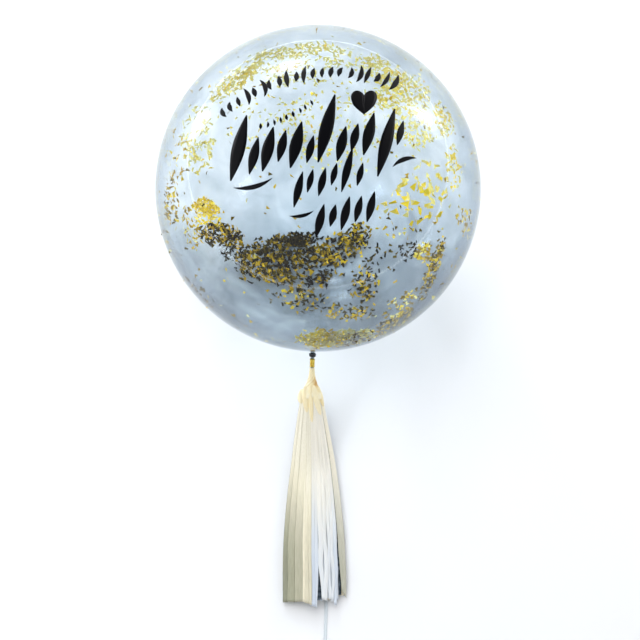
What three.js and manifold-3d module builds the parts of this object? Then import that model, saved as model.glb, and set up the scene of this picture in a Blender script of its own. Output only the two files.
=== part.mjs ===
// A clear bubble balloon with a paper tassel and a flat ribbon, lying on the floor as it lies when loose.
// Millimetres, +Z up. The origin is the middle of the small flat spot that the ball rests on,
// and the neck points along -Y, down towards the floor.

import * as THREE from "three";
import { mergeVertices } from "three/addons/utils/BufferGeometryUtils.js";
import Module from "manifold-3d";

// Ball and neck
const ballRadius = 300;
const flatSpotRadius = 36;
const neckSlopeDegrees = 34;
const neckLeanDegrees = 1.9;
const neckRadius = 3.2;
const funnelRadius = 40;
const ballSegments = 60;
const ballRings = 27;
const funnelRings = 5;

// Tie and foil band, placed by their distance from the ball's end of the neck
const fitGap = 0.3;
const tieOffset = 11.5;
const tieLength = 8;
const tieThickness = 2.4;
const tieTurns = 3;
const bandOffset = 23;
const bandLength = 15;
const bandThickness = 1.3;
const neckLength = 40;
const ringSegments = 20;

// Tassel: a twisted stem, then a head of sheets cut into strips
const stemLength = 49;
const stemStartRadius = 5.2;
const stemLobes = 3;
const stemLobeDepth = 0.1;
const stemTwistTurns = 0.8;
const headHalfWidth = 19.5;
const headThickness = 18;
const fringeHalfWidth = 59;
const fringeThickness = 22;
const fringeSwell = 1.15;
const fringeEdgeThinning = 0.5;
const layerGap = 1.2;
const stripGapShare = 0.02;
const slitStart = 26;
const headRows = 2;
const stripRows = 12;

// Drape of the tassel: it leaves the neck in line, slopes down and then lies along the floor
const drapeStiffness = 90;
const drapeLanding = { x: -8.5, y: -480 };
const drapeLandingReach = 70;
const fringeEnd = { x: -6, y: -711 };

// Ribbon: flat, lying with its width across the floor
const ribbonWidth = 6;
const ribbonThickness = 1.2;
const ribbonSteps = 46;
const ribbonLaneShare = 0.36;
const ribbonLaneHalfShare = 0.085;

// Coil of the rest of the ribbon, with its tie
const coilCentre = { x: -37, y: -845 };
const coilInnerRadius = 20;
const coilOuterRadius = 52.5;
const coilBottom = 0.8;
const coilThickness = 1.6;
const coilSegments = 40;
const coilTieWidth = 6;
const coilTieThickness = 0.5;

// Route of the ribbon from the tie to its coil
const ribbonRoute = [
  [-10.6, -262.3, 114.0],
  [-10.8, -270.2, 108.4],
  [-10.9, -278.0, 101.8],
  [-11.0, -284.6, 93.6],
  [-11.0, -289.4, 83.6],
  [-11.0, -292.6, 72.0],
  [-11.0, -294.9, 59.0],
  [-10.8, -297.2, 45.5],
  [-10.5, -300.8, 32.0],
  [-10.0, -306.8, 19.2],
  [-9.4, -316.2, 8.8],
  [-8.4, -328.8, 3.2],
  [-7.2, -343.0, 1.5],
  [-5.0, -362.0, 1.1],
  [-2.2, -381.0, 1.0],
  [1.9, -402.0, 1.0],
  [4.7, -426.0, 1.0],
  [6.9, -452.0, 1.0],
  [8.6, -482.0, 1.0],
  [10.6, -520.0, 1.0],
  [12.2, -560.0, 1.0],
  [13.5, -600.0, 1.0],
  [14.4, -640.0, 1.0],
  [14.9, -680.0, 1.0],
  [15.0, -715.0, 1.0],
  [14.2, -748.0, 1.0],
  [13.0, -778.0, 1.1],
  [12.2, -802.0, 1.4],
  [12.0, -818.8, 1.6],
];

const flatDepth = ballRadius - Math.sqrt(ballRadius ** 2 - flatSpotRadius ** 2);
const ballHeight = ballRadius - flatDepth;
const neckSlope = THREE.MathUtils.degToRad(neckSlopeDegrees);
const neckLean = THREE.MathUtils.degToRad(neckLeanDegrees);
const neckDirection = new THREE.Vector3(
  -Math.sin(neckLean),
  -Math.cos(neckLean) * Math.cos(neckSlope),
  -Math.cos(neckLean) * Math.sin(neckSlope),
);
const neckTurn = new THREE.Quaternion().setFromUnitVectors(new THREE.Vector3(0, -1, 0), neckDirection);
const ballCentre = new THREE.Vector3(0, 0, ballHeight);
const across = new THREE.Vector3(1, 0, 0);

const wasm = await Module();
wasm.setup();

function material(colour, roughness, metalness) {
  return new THREE.MeshStandardMaterial({ color: colour, roughness, metalness });
}

function named(name, geometry, surface) {
  const mesh = new THREE.Mesh(geometry, surface);
  mesh.name = name;
  return mesh;
}

// A closed three.js geometry as a solid that can be cut
function toSolid(geometry) {
  const bare = geometry.clone();
  bare.deleteAttribute("normal");
  bare.deleteAttribute("uv");
  const merged = mergeVertices(bare, 1e-4);
  return new wasm.Manifold(new wasm.Mesh({
    numProp: 3,
    vertProperties: new Float32Array(merged.attributes.position.array),
    triVerts: new Uint32Array(merged.index.array),
  }));
}

function toGeometry(solid) {
  const mesh = solid.getMesh();
  const geometry = new THREE.BufferGeometry();
  geometry.setAttribute("position", new THREE.BufferAttribute(mesh.vertProperties, 3));
  geometry.setIndex(new THREE.BufferAttribute(mesh.triVerts, 1));
  geometry.computeVertexNormals();
  return geometry;
}

// Half outline of the ball, from the end of its neck up to the crown: the neck's stub,
// the funnel where the film is gathered, and the round of the ball
function ballProfile() {
  const neckTip = ballRadius + neckLength;
  const points = [new THREE.Vector2(0, -neckTip), new THREE.Vector2(neckRadius, -neckTip)];
  const funnelAngle = Math.asin(funnelRadius / ballRadius);
  const funnelTop = new THREE.Vector2(funnelRadius, -ballRadius * Math.cos(funnelAngle));
  const alongBall = new THREE.Vector2(-Math.cos(funnelAngle), -Math.sin(funnelAngle));
  const funnel = new THREE.CubicBezierCurve(
    new THREE.Vector2(neckRadius, -ballRadius - tieOffset),
    new THREE.Vector2(neckRadius, -ballRadius - tieOffset * 0.3),
    funnelTop.clone().addScaledVector(alongBall, funnelRadius * 0.45),
    funnelTop,
  );
  points.push(...funnel.getPoints(funnelRings));
  for (let ring = 1; ring <= ballRings; ring += 1) {
    const angle = THREE.MathUtils.lerp(funnelAngle, Math.PI, ring / ballRings);
    const radius = ring === ballRings ? 0 : ballRadius * Math.sin(angle);
    points.push(new THREE.Vector2(radius, -ballRadius * Math.cos(angle)));
  }
  return points;
}

function balloonEnvelope() {
  const ball = new THREE.LatheGeometry(ballProfile(), ballSegments);
  ball.applyQuaternion(neckTurn);
  ball.translate(ballCentre.x, ballCentre.y, ballCentre.z);
  const belowFloor = new THREE.BoxGeometry(ballRadius, ballRadius, ballRadius);
  belowFloor.translate(0, 0, -ballRadius / 2);
  const geometry = toGeometry(toSolid(ball).subtract(toSolid(belowFloor)));
  return named("balloon_envelope", geometry, material("#b8cbdd", 0.08, 0));
}

// A ring round the neck from a closed outline given as radius and distance past the ball
function neckRing(name, outline, surface) {
  const points = outline.map(([radius, offset]) => new THREE.Vector2(radius, -ballRadius - offset));
  return named(name, new THREE.LatheGeometry(points.reverse(), ringSegments), surface);
}

// Three turns of black elastic, each a low bulge, the last ones a little tighter
function neckTie() {
  const inner = neckRadius + fitGap;
  const outline = [[inner, tieOffset]];
  const stepsPerTurn = 4;
  for (let step = 0; step <= tieTurns * stepsPerTurn; step += 1) {
    const share = step / (tieTurns * stepsPerTurn);
    const bulge = Math.abs(Math.sin(share * tieTurns * Math.PI));
    const radius = inner + tieThickness * (0.55 + 0.45 * bulge) * (1 - 0.25 * share);
    outline.push([radius, tieOffset + tieLength * share]);
  }
  outline.push([inner, tieOffset + tieLength], [inner, tieOffset]);
  return neckRing("neck_tie", outline, material("#08080a", 0.6, 0));
}

function goldBand() {
  const inner = neckRadius + fitGap;
  const outer = inner + bandThickness;
  const waist = outer - bandThickness * 0.3;
  const outline = [
    [inner, bandOffset],
    [outer, bandOffset],
    [waist, bandOffset + bandLength * 0.35],
    [outer, bandOffset + bandLength * 0.6],
    [waist, bandOffset + bandLength * 0.85],
    [outer, bandOffset + bandLength],
    [inner, bandOffset + bandLength],
    [inner, bandOffset],
  ];
  return neckRing("gold_band", outline, material("#d9b32f", 0.25, 1));
}

// Centre line of the tassel, from the end of the neck to the ends of the strips
function tasselDrape() {
  const start = ballCentre.clone().addScaledVector(neckDirection, ballRadius + neckLength + fitGap);
  const leave = start.clone().addScaledVector(neckDirection, drapeStiffness);
  const onFloor = fringeThickness / 2;
  const landing = new THREE.Vector3(drapeLanding.x, drapeLanding.y, onFloor);
  const beforeLanding = new THREE.Vector3(drapeLanding.x, drapeLanding.y + drapeLandingReach, onFloor);
  const end = new THREE.Vector3(fringeEnd.x, fringeEnd.y, onFloor);
  const path = new THREE.CurvePath();
  path.add(new THREE.CubicBezierCurve3(start, leave, beforeLanding, landing));
  path.add(new THREE.LineCurve3(landing, end));
  return path;
}

const drape = tasselDrape();
const drapeLength = drape.getLength();
const fringeLength = drapeLength - stemLength;

// Centre and upward direction of the drape at a distance along it; past its end it runs on straight
function drapeFrame(distance) {
  const share = Math.min(distance / drapeLength, 1);
  const tangent = drape.getTangentAt(share);
  const centre = drape.getPointAt(share);
  centre.addScaledVector(tangent, Math.max(distance - drapeLength, 0));
  const up = new THREE.Vector3().crossVectors(tangent, across).normalize();
  return { centre, up };
}

// How far the bundle has opened, from 0 at its head to 1 where it is widest
function opening(distance) {
  const share = THREE.MathUtils.clamp((distance - stemLength) / fringeLength, 0, 1);
  return Math.sin(Math.min(share * fringeSwell, 1) * Math.PI / 2);
}

// A point of the bundle: side runs from -1 to 1 across it, level from 0 at its underside to 1 on top
function bundlePoint(distance, side, level, offset) {
  const open = opening(distance);
  const halfWidth = THREE.MathUtils.lerp(headHalfWidth, fringeHalfWidth, open);
  const thickness = THREE.MathUtils.lerp(headThickness, fringeThickness, Math.min(open * 2, 1));
  const crown = 1 - fringeEdgeThinning * side * side;
  const { centre, up } = drapeFrame(distance);
  return centre
    .addScaledVector(across, halfWidth * side)
    .addScaledVector(up, level * thickness * crown - thickness / 2 + offset);
}

// The twisted stem: a cylinder bent along the drape, three lobes turning as it opens into the head
function tasselStem() {
  const geometry = new THREE.CylinderGeometry(1, 1, 1, 24, 14);
  const position = geometry.attributes.position;
  const point = new THREE.Vector3();
  for (let index = 0; index < position.count; index += 1) {
    point.fromBufferAttribute(position, index);
    const share = 0.5 - point.y;
    const radius = Math.hypot(point.x, point.z);
    const angle = Math.atan2(point.z, point.x);
    const open = share ** 1.6;
    const lobes = 1 - stemLobeDepth * (1 - share) * (1 - Math.cos(stemLobes * (angle - share * stemTwistTurns * 2 * Math.PI)));
    const halfWidth = THREE.MathUtils.lerp(stemStartRadius, headHalfWidth, open);
    const halfThickness = THREE.MathUtils.lerp(stemStartRadius, headThickness / 2, open);
    const { centre, up } = drapeFrame(share * stemLength);
    centre.addScaledVector(across, halfWidth * radius * lobes * Math.cos(angle));
    centre.addScaledVector(up, halfThickness * radius * lobes * Math.sin(angle));
    position.setXYZ(index, centre.x, centre.y, centre.z);
  }
  return named("tassel_stem", geometry, material("#ead9a4", 0.6, 0));
}

// Strips of one sheet: the width from one side to the other, shared out with a slit between each two
function stripsBetween(from, to, reaches) {
  const width = (to - from) / (reaches.length - 1);
  return reaches.slice(1).map((reach, index) => ({
    left: from + index * width + stripGapShare / 2,
    right: from + (index + 1) * width - stripGapShare / 2,
    leftReach: reaches[index],
    rightReach: reach,
  }));
}

// One sheet of the fringe: an uncut head, then strips of their own length, as one closed solid.
// A strip has a line of points on each side, and the slits between the strips start below the head.
function fringeSheet(name, strips, levels, surface) {
  const lines = strips.flatMap((strip) => [
    { side: strip.left, end: drapeLength + strip.leftReach },
    { side: strip.right, end: drapeLength + strip.rightReach },
  ]);
  const rowCount = headRows + stripRows;
  const headStart = stemLength + fitGap;
  const slitDistance = stemLength + slitStart;
  const distanceAt = (line, row) => (row <= headRows
    ? THREE.MathUtils.lerp(headStart, slitDistance, row / headRows)
    : THREE.MathUtils.lerp(slitDistance, line.end, (row - headRows) / stripRows));
  const positions = [];
  for (const [level, offset] of [[levels[0], layerGap / 2], [levels[1], -layerGap / 2]]) {
    const lift = level === 0 ? 0 : offset;
    for (const line of lines) {
      for (let row = 0; row <= rowCount; row += 1) {
        positions.push(...bundlePoint(distanceAt(line, row), line.side, level, lift).toArray());
      }
    }
  }
  const under = (line, row) => line * (rowCount + 1) + row;
  const over = (line, row) => under(lines.length + line, row);
  const isPaper = (column, row) => column >= 0 && column < lines.length - 1 && row >= 0
    && row < rowCount && (column % 2 === 0 || row < headRows);
  const faces = [];
  const quad = (a, b, c, d) => faces.push(a, b, c, a, c, d);
  for (let column = 0; column < lines.length - 1; column += 1) {
    for (let row = 0; row < rowCount; row += 1) {
      if (isPaper(column, row)) {
        const next = column + 1;
        quad(over(column, row), over(column, row + 1), over(next, row + 1), over(next, row));
        quad(under(next, row), under(next, row + 1), under(column, row + 1), under(column, row));
        if (!isPaper(column - 1, row)) {
          quad(over(column, row), under(column, row), under(column, row + 1), over(column, row + 1));
        }
        if (!isPaper(next, row)) {
          quad(over(next, row + 1), under(next, row + 1), under(next, row), over(next, row));
        }
        if (!isPaper(column, row - 1)) {
          quad(over(next, row), under(next, row), under(column, row), over(column, row));
        }
        if (!isPaper(column, row + 1)) {
          quad(over(column, row + 1), under(column, row + 1), under(next, row + 1), over(next, row + 1));
        }
      }
    }
  }
  const geometry = new THREE.BufferGeometry();
  geometry.setAttribute("position", new THREE.Float32BufferAttribute(positions, 3));
  geometry.setIndex(faces);
  geometry.computeVertexNormals();
  return named(name, geometry, surface);
}

// The sheets from the floor up: silver foil, with a lane in it that the ribbon lies in, then ivory
// tissue, then champagne, white and beige side by side on top
function fringeSheets() {
  const laneLeft = ribbonLaneShare - ribbonLaneHalfShare + stripGapShare / 2;
  const laneRight = ribbonLaneShare + ribbonLaneHalfShare - stripGapShare / 2;
  const silverStrips = [
    ...stripsBetween(-0.94, laneLeft, [-14, -20, -12, -22, -16]),
    ...stripsBetween(laneRight, 0.94, [-18, -24, -16]),
  ];
  return [
    fringeSheet("fringe_silver_sheet", silverStrips, [0, 0.3], material("#5a6470", 0.3, 0.9)),
    fringeSheet("fringe_ivory_sheet", stripsBetween(-0.97, 0.92, [-9, -6, -14, -8, -18, -12, -20]),
      [0.3, 0.62], material("#f4ead2", 0.8, 0)),
    fringeSheet("fringe_champagne_sheet", stripsBetween(-1, -0.12, [-2, -2, -2, -2, 6]),
      [0.62, 1], material("#cfc8aa", 0.5, 0)),
    fringeSheet("fringe_white_sheet", stripsBetween(-0.12, 0.76, [9, 10, -6, -3, -6, 4]),
      [0.62, 1], material("#e8ecf2", 0.7, 0)),
    fringeSheet("fringe_beige_sheet", stripsBetween(0.76, 1, [-22, -16, -10]),
      [0.62, 1], material("#c9c1a0", 0.6, 0)),
  ];
}

// The ribbon's section is a flat octagon, with its width across the route
function ribbonTube() {
  const half = ribbonWidth / 2;
  const thick = ribbonThickness / 2;
  const corner = thick / 2;
  const section = new THREE.Shape([
    new THREE.Vector2(half, -thick + corner),
    new THREE.Vector2(half, thick - corner),
    new THREE.Vector2(half - corner, thick),
    new THREE.Vector2(-half + corner, thick),
    new THREE.Vector2(-half, thick - corner),
    new THREE.Vector2(-half, -thick + corner),
    new THREE.Vector2(-half + corner, -thick),
    new THREE.Vector2(half - corner, -thick),
  ]);
  const route = new THREE.CatmullRomCurve3(ribbonRoute.map((place) => new THREE.Vector3(...place)));
  const geometry = new THREE.ExtrudeGeometry(section, { steps: ribbonSteps, extrudePath: route });
  return named("ribbon", geometry, material("#eef6f8", 0.2, 0));
}

// The wound ribbon is a flat ring, and its tie goes round the ring's section on the side away from the ribbon
function ribbonCoil() {
  const coil = new THREE.Group();
  const outline = [
    new THREE.Vector2(coilInnerRadius, 0),
    new THREE.Vector2(coilOuterRadius, 0),
    new THREE.Vector2(coilOuterRadius, coilThickness),
    new THREE.Vector2(coilInnerRadius, coilThickness),
    new THREE.Vector2(coilInnerRadius, 0),
  ];
  const ring = new THREE.LatheGeometry(outline, coilSegments);
  ring.rotateX(Math.PI / 2);
  coil.add(named("ribbon_coil", ring, material("#eef6f8", 0.2, 0)));
  const inside = fitGap + 0.1;
  const tieShape = new THREE.Shape(rectangle(coilInnerRadius - inside - coilTieThickness,
    coilOuterRadius + inside + coilTieThickness, -coilBottom, coilThickness + coilBottom));
  tieShape.holes.push(new THREE.Path(rectangle(coilInnerRadius - inside, coilOuterRadius + inside,
    -fitGap, coilThickness + fitGap)));
  const tie = new THREE.ExtrudeGeometry(tieShape, { depth: coilTieWidth, bevelEnabled: false });
  tie.rotateX(Math.PI / 2);
  tie.rotateZ(Math.PI);
  tie.translate(0, -coilTieWidth / 2, 0);
  coil.add(named("coil_tie", tie, material("#f2f2ee", 0.5, 0)));
  coil.position.set(coilCentre.x, coilCentre.y, coilBottom);
  return coil;
}

function rectangle(left, right, bottom, top) {
  return [
    new THREE.Vector2(left, bottom),
    new THREE.Vector2(right, bottom),
    new THREE.Vector2(right, top),
    new THREE.Vector2(left, top),
  ];
}

const neckPieces = new THREE.Group();
neckPieces.add(neckTie(), goldBand());
neckPieces.quaternion.copy(neckTurn);
neckPieces.position.copy(ballCentre);

const group = new THREE.Group();
group.add(balloonEnvelope(), neckPieces, tasselStem(), ...fringeSheets(), ribbonTube(), ribbonCoil());

export default group;
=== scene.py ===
"""A clear confetti balloon with a paper tassel and a flat ribbon, lying loose on a pale floor.

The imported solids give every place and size. This script makes the surfaces that are seen: the clear film
with its brush strokes, the foil confetti inside it, the tied neck, the paper strips and the ribbon.
"""

import logging
import math
import random
from dataclasses import dataclass, field
from enum import Enum

import bpy
import numpy as np
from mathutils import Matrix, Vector


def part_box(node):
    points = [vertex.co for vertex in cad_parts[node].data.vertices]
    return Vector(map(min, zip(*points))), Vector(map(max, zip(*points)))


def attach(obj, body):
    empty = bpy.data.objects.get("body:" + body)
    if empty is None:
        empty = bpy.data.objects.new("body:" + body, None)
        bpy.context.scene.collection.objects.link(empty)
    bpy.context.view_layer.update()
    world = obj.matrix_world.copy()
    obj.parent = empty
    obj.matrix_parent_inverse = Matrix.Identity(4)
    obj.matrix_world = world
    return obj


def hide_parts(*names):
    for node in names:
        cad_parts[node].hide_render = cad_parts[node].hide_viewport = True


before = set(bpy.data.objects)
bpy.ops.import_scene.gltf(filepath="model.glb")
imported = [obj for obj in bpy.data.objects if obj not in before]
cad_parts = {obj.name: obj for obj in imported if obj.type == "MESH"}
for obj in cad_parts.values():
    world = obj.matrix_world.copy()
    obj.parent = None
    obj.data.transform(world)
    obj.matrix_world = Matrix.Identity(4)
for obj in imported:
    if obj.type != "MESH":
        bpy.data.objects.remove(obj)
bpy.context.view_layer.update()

MM = 0.001
LOG = logging.getLogger("confetti_balloon")
BALL_RADIUS = 0.3
FIT_GAP = 0.3 * MM
# A wave texture scaled by this over a spacing draws its lines 2 pi spacings apart. That is coarser than
# the real threads and drawn lines, which are too fine to show.
WAVE_SCALE = 0.05
UP = Vector((0.0, 0.0, 1.0))
ACROSS = Vector((1.0, 0.0, 0.0))


def linear(hex_colour: str) -> tuple[float, float, float, float]:
    """Turns an sRGB hex colour into the linear colour that a shader takes.

    Args:
        hex_colour: the colour as "#rrggbb".

    Returns:
        Linear red, green and blue, and an alpha of 1.
    """
    channels = [int(hex_colour[i:i + 2], 16) / 255 for i in (1, 3, 5)]
    values = [c / 12.92 if c <= 0.04045 else ((c + 0.055) / 1.055) ** 2.4 for c in channels]
    return (*values, 1.0)


def add_node(tree: bpy.types.NodeTree, kind: str, settings: dict | None = None, links: dict | None = None,
             stops: list | tuple = (), **attributes: object) -> bpy.types.Node:
    """Adds one node with its settings and links.

    Args:
        tree: the node tree that takes it.
        kind: the node's type.
        settings: input socket to plain value.
        links: input socket to the output socket that feeds it.
        stops: a colour ramp's stops in order, each a position and an sRGB hex colour.
        attributes: the node's own properties.

    Returns:
        The new node.
    """
    node = tree.nodes.new(kind)
    for name, value in attributes.items():
        setattr(node, name, value)
    for socket, value in (settings or {}).items():
        node.inputs[socket].default_value = value
    for socket, source in (links or {}).items():
        tree.links.new(source, node.inputs[socket])
    if stops:
        elements = node.color_ramp.elements
        while len(elements) < len(stops):
            elements.new(0.5)
        for element, (position, colour) in zip(elements, stops):
            element.position = position
            element.color = linear(colour)
    return node


def new_material(name: str) -> tuple[bpy.types.Material, bpy.types.NodeTree, bpy.types.Node]:
    """Makes a node material that holds one Principled shader.

    Args:
        name: the material's name.

    Returns:
        The material, its node tree and its Principled node.
    """
    material = bpy.data.materials.new(name)
    material.use_nodes = True
    tree = material.node_tree
    return material, tree, tree.nodes["Principled BSDF"]


def set_inputs(node: bpy.types.Node, **values: object) -> None:
    """Sets a shader's own sockets, with _ for each space in their names."""
    for name, value in values.items():
        node.inputs[name.replace("_", " ")].default_value = value


def spread_tone(tree: bpy.types.NodeTree, pattern: bpy.types.NodeSocket, gain: float) -> bpy.types.NodeSocket:
    """Adds a pattern to the piece's own tone.

    Args:
        tree: the node tree that takes it.
        pattern: the pattern's output, from 0 to 1.
        gain: how far it spreads the tone, half of it each way.

    Returns:
        The output that holds the sum.
    """
    tone = add_node(tree, "ShaderNodeAttribute", attribute_name="tone")
    spread = add_node(tree, "ShaderNodeMath", {1: gain, 2: -gain / 2}, {0: pattern}, operation="MULTIPLY_ADD")
    mixed = add_node(tree, "ShaderNodeMath", {}, {0: spread.outputs[0], 1: tone.outputs["Fac"]},
                     operation="ADD")
    return mixed.outputs[0]


def ease(value: float) -> float:
    """Eases a number from 0 to 1 with level ends, and holds it outside."""
    held = min(max(value, 0.0), 1.0)
    return held * held * (3 - 2 * held)


def make_piece(name: str, vertices: list, faces: list, material: bpy.types.Material, smooth: bool = True,
               tones: list[float] | None = None) -> bpy.types.Object:
    """Makes a mesh piece that rides on the part's one body.

    Args:
        name: the piece's name.
        vertices: points in metres in the row's frame.
        faces: lists of vertex numbers.
        material: its material.
        smooth: whether its faces are smooth shaded.
        tones: one number from 0 to 1 for each vertex, which the material may read as "tone".

    Returns:
        The new object.
    """
    mesh = bpy.data.meshes.new(name)
    mesh.from_pydata([tuple(v) for v in vertices], [], [tuple(f) for f in faces])
    mesh.polygons.foreach_set("use_smooth", [smooth] * len(mesh.polygons))
    if tones is not None:
        layer = mesh.attributes.new("tone", "FLOAT", "POINT")
        layer.data.foreach_set("value", [float(t) for t in tones])
    mesh.materials.append(material)
    mesh.validate()
    mesh.update()
    piece = bpy.data.objects.new(name, mesh)
    bpy.context.scene.collection.objects.link(piece)
    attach(piece, "root")
    LOG.info("%s: %d faces", name, len(mesh.polygons))
    return piece


@dataclass
class Solid:
    """Gathers closed shapes that go into one mesh."""

    vertices: list = field(default_factory=list)
    faces: list = field(default_factory=list)
    tones: list = field(default_factory=list)

    def add(self, vertices: list, faces: list, tone: float = 0.5) -> None:
        """Adds one shape.

        Args:
            vertices: its points.
            faces: its faces, numbered from 0.
            tone: the tone of all its points.
        """
        start = len(self.vertices)
        self.vertices.extend(vertices)
        self.faces.extend([[index + start for index in face] for face in faces])
        self.tones.extend([tone] * len(vertices))

    def piece(self, name: str, material: bpy.types.Material, smooth: bool = True) -> bpy.types.Object:
        """Makes the piece of all the shapes gathered so far."""
        return make_piece(name, self.vertices, self.faces, material, smooth, self.tones)


def sheet_faces(rows: int, columns: int) -> list[list[int]]:
    """Faces of a closed thin sheet: a grid of upper points, then the same grid of lower points.

    Args:
        rows: points along it.
        columns: points across it.

    Returns:
        The faces of its two sides and its four edges.
    """
    low = rows * columns
    faces = []
    for r in range(rows - 1):
        for c in range(columns - 1):
            a, b = r * columns + c, r * columns + c + 1
            d, e = a + columns, b + columns
            faces.append([a, d, e, b])
            faces.append([low + a, low + b, low + e, low + d])
        left, right = r * columns, r * columns + columns - 1
        faces.append([left, low + left, low + left + columns, left + columns])
        faces.append([right, right + columns, low + right + columns, low + right])
    for c in range(columns - 1):
        faces.append([c, c + 1, low + c + 1, low + c])
        last = (rows - 1) * columns + c
        faces.append([last, low + last, low + last + 1, last + 1])
    return faces


def ring_faces(gaps: int, around: int, start: int = 0) -> list[list[int]]:
    """Faces that join rings of points, each to the next.

    Args:
        gaps: how many gaps between rings there are.
        around: points in a ring.
        start: the number of the first point.

    Returns:
        The faces, gap by gap.
    """
    faces = []
    for gap in range(gaps):
        for corner in range(around):
            a, b = start + gap * around + corner, start + gap * around + (corner + 1) % around
            faces.append([a, b, b + around, a + around])
    return faces


def bezier(start: Vector, leave: Vector, arrive: Vector, end: Vector, share: float) -> Vector:
    """A point on a cubic Bezier curve.

    Args:
        start: where the curve starts.
        leave: the handle that it leaves towards.
        arrive: the handle that it arrives from.
        end: where it ends.
        share: how far along it the point is, from 0 to 1.

    Returns:
        The point.
    """
    rest = 1 - share
    return (start * rest ** 3 + leave * 3 * share * rest ** 2 + arrive * 3 * share * share * rest
            + end * share ** 3)


def smooth_line(points: list | tuple, steps: int) -> list[Vector]:
    """A Catmull-Rom curve through points.

    Args:
        points: the places it passes, in order.
        steps: how many stretches it has between two of them.

    Returns:
        Points along it, both ends included.
    """
    knots = [Vector(p) for p in points]
    knots = [knots[0] * 2 - knots[1], *knots, knots[-1] * 2 - knots[-2]]
    line = []
    for a, b, c, d in zip(knots, knots[1:], knots[2:], knots[3:]):
        for step in range(steps):
            t = step / steps
            line.append(0.5 * (2 * b + (c - a) * t + (2 * a - 5 * b + 4 * c - d) * t * t
                               + (3 * b - a - 3 * c + d) * t ** 3))
    line.append(knots[-2])
    return line


class Wall(Enum):
    """Which wall of the ball a line of sight meets."""

    NEAR = -1
    FAR = 1


@dataclass(frozen=True)
class StretchedFilm:
    """Clear polyurethane film, blown up like a bubble: cool and very glossy, with faint stretch marks.

    It is less stretched, so denser and darker, round the neck, where painted shade darkens it further, and
    painted shade darkens it a little towards the right. It looks denser at its rim.
    """

    stops: tuple = ((0.0, "#e2ecf2"), (0.3, "#c8d6e0"), (0.7, "#a3b2bd"), (1.0, "#7d8b96"))
    rim: str = "#8fa8bd"
    lamp_tint: str = "#f3f6f8"
    gloss_roughness: float = 0.05
    gloss_ior: float = 1.4
    stretch_mark: float = 110 * MM
    wisp_gain: float = 1.5

    def material(self) -> bpy.types.Material:
        """Builds the shader: see-through by plain values, and lamps shine through it unbent."""
        material, tree, shader = new_material("blown_clear_film")
        set_inputs(shader, Roughness=0.0, IOR=1.0, Transmission_Weight=1.0, Coat_Weight=1.0,
                   Coat_Roughness=self.gloss_roughness, Coat_IOR=self.gloss_ior)
        place = add_node(tree, "ShaderNodeTexCoord")
        wisps = add_node(tree, "ShaderNodeTexNoise", {"Scale": 1 / self.stretch_mark, "Detail": 3.0,
                                                      "Distortion": 1.2}, {"Vector": place.outputs["Object"]})
        body = add_node(tree, "ShaderNodeValToRGB", stops=self.stops,
                        links={"Fac": spread_tone(tree, wisps.outputs["Fac"], self.wisp_gain)})
        facing = add_node(tree, "ShaderNodeLayerWeight", {"Blend": 0.5})
        rim = add_node(tree, "ShaderNodeValToRGB", links={"Fac": facing.outputs["Facing"]},
                       stops=[(0.5, "#ffffff"), (0.9, self.rim)])
        colour = add_node(tree, "ShaderNodeMix", {0: 1.0},
                          {6: body.outputs["Color"], 7: rim.outputs["Color"]}, data_type="RGBA",
                          blend_type="MULTIPLY")
        tree.links.new(colour.outputs[2], shader.inputs["Base Color"])
        clear = add_node(tree, "ShaderNodeBsdfTransparent", {"Color": linear(self.lamp_tint)})
        path = add_node(tree, "ShaderNodeLightPath")
        mix = add_node(tree, "ShaderNodeMixShader", links={0: path.outputs["Is Shadow Ray"],
                                                           1: shader.outputs[0], 2: clear.outputs[0]})
        tree.links.new(mix.outputs[0], tree.nodes["Material Output"].inputs["Surface"])
        return material


@dataclass(frozen=True)
class CutVinyl:
    """Black vinyl cut on a plotter and rubbed on: even, with the low shine of soft plastic."""

    colour: str = "#030306"
    ripple: float = 50 / 3 * MM

    def material(self) -> bpy.types.Material:
        """Builds the shader, with the faint ripple of a rubbed sticker."""
        material, tree, shader = new_material("cut_black_vinyl")
        set_inputs(shader, Base_Color=linear(self.colour), Roughness=0.4, Specular_IOR_Level=0.12)
        place = add_node(tree, "ShaderNodeTexCoord")
        ripple = add_node(tree, "ShaderNodeTexNoise", {"Scale": 1 / self.ripple, "Detail": 2.0},
                          {"Vector": place.outputs["Object"]})
        bump = add_node(tree, "ShaderNodeBump", {"Strength": 0.15, "Distance": 0.5 * MM},
                        {"Height": ripple.outputs["Fac"]})
        tree.links.new(bump.outputs[0], shader.inputs["Normal"])
        return material


@dataclass(frozen=True)
class ShreddedFoil:
    """Gold polyester foil shredded for confetti: its colours are painted light, pale yellow for painted
    glints and near black for painted shade.
    """

    stops: tuple = ((0.0, "#050300"), (0.25, "#2e2604"), (0.5, "#6e5c0a"), (0.75, "#d8b01a"),
                    (0.88, "#ffe02c"), (1.0, "#fff9b0"))

    def material(self) -> bpy.types.Material:
        """Builds the shader: the flake's own tone picks its colour, from painted shade to painted glint."""
        material, tree, shader = new_material("gold_foil_painted_glints_and_shade")
        tone = add_node(tree, "ShaderNodeAttribute", attribute_name="tone")
        colour = add_node(tree, "ShaderNodeValToRGB", links={"Fac": tone.outputs["Fac"]}, stops=self.stops)
        tree.links.new(colour.outputs["Color"], shader.inputs["Base Color"])
        set_inputs(shader, Metallic=0.1, Roughness=0.35, Specular_IOR_Level=0.1)
        return material


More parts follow.
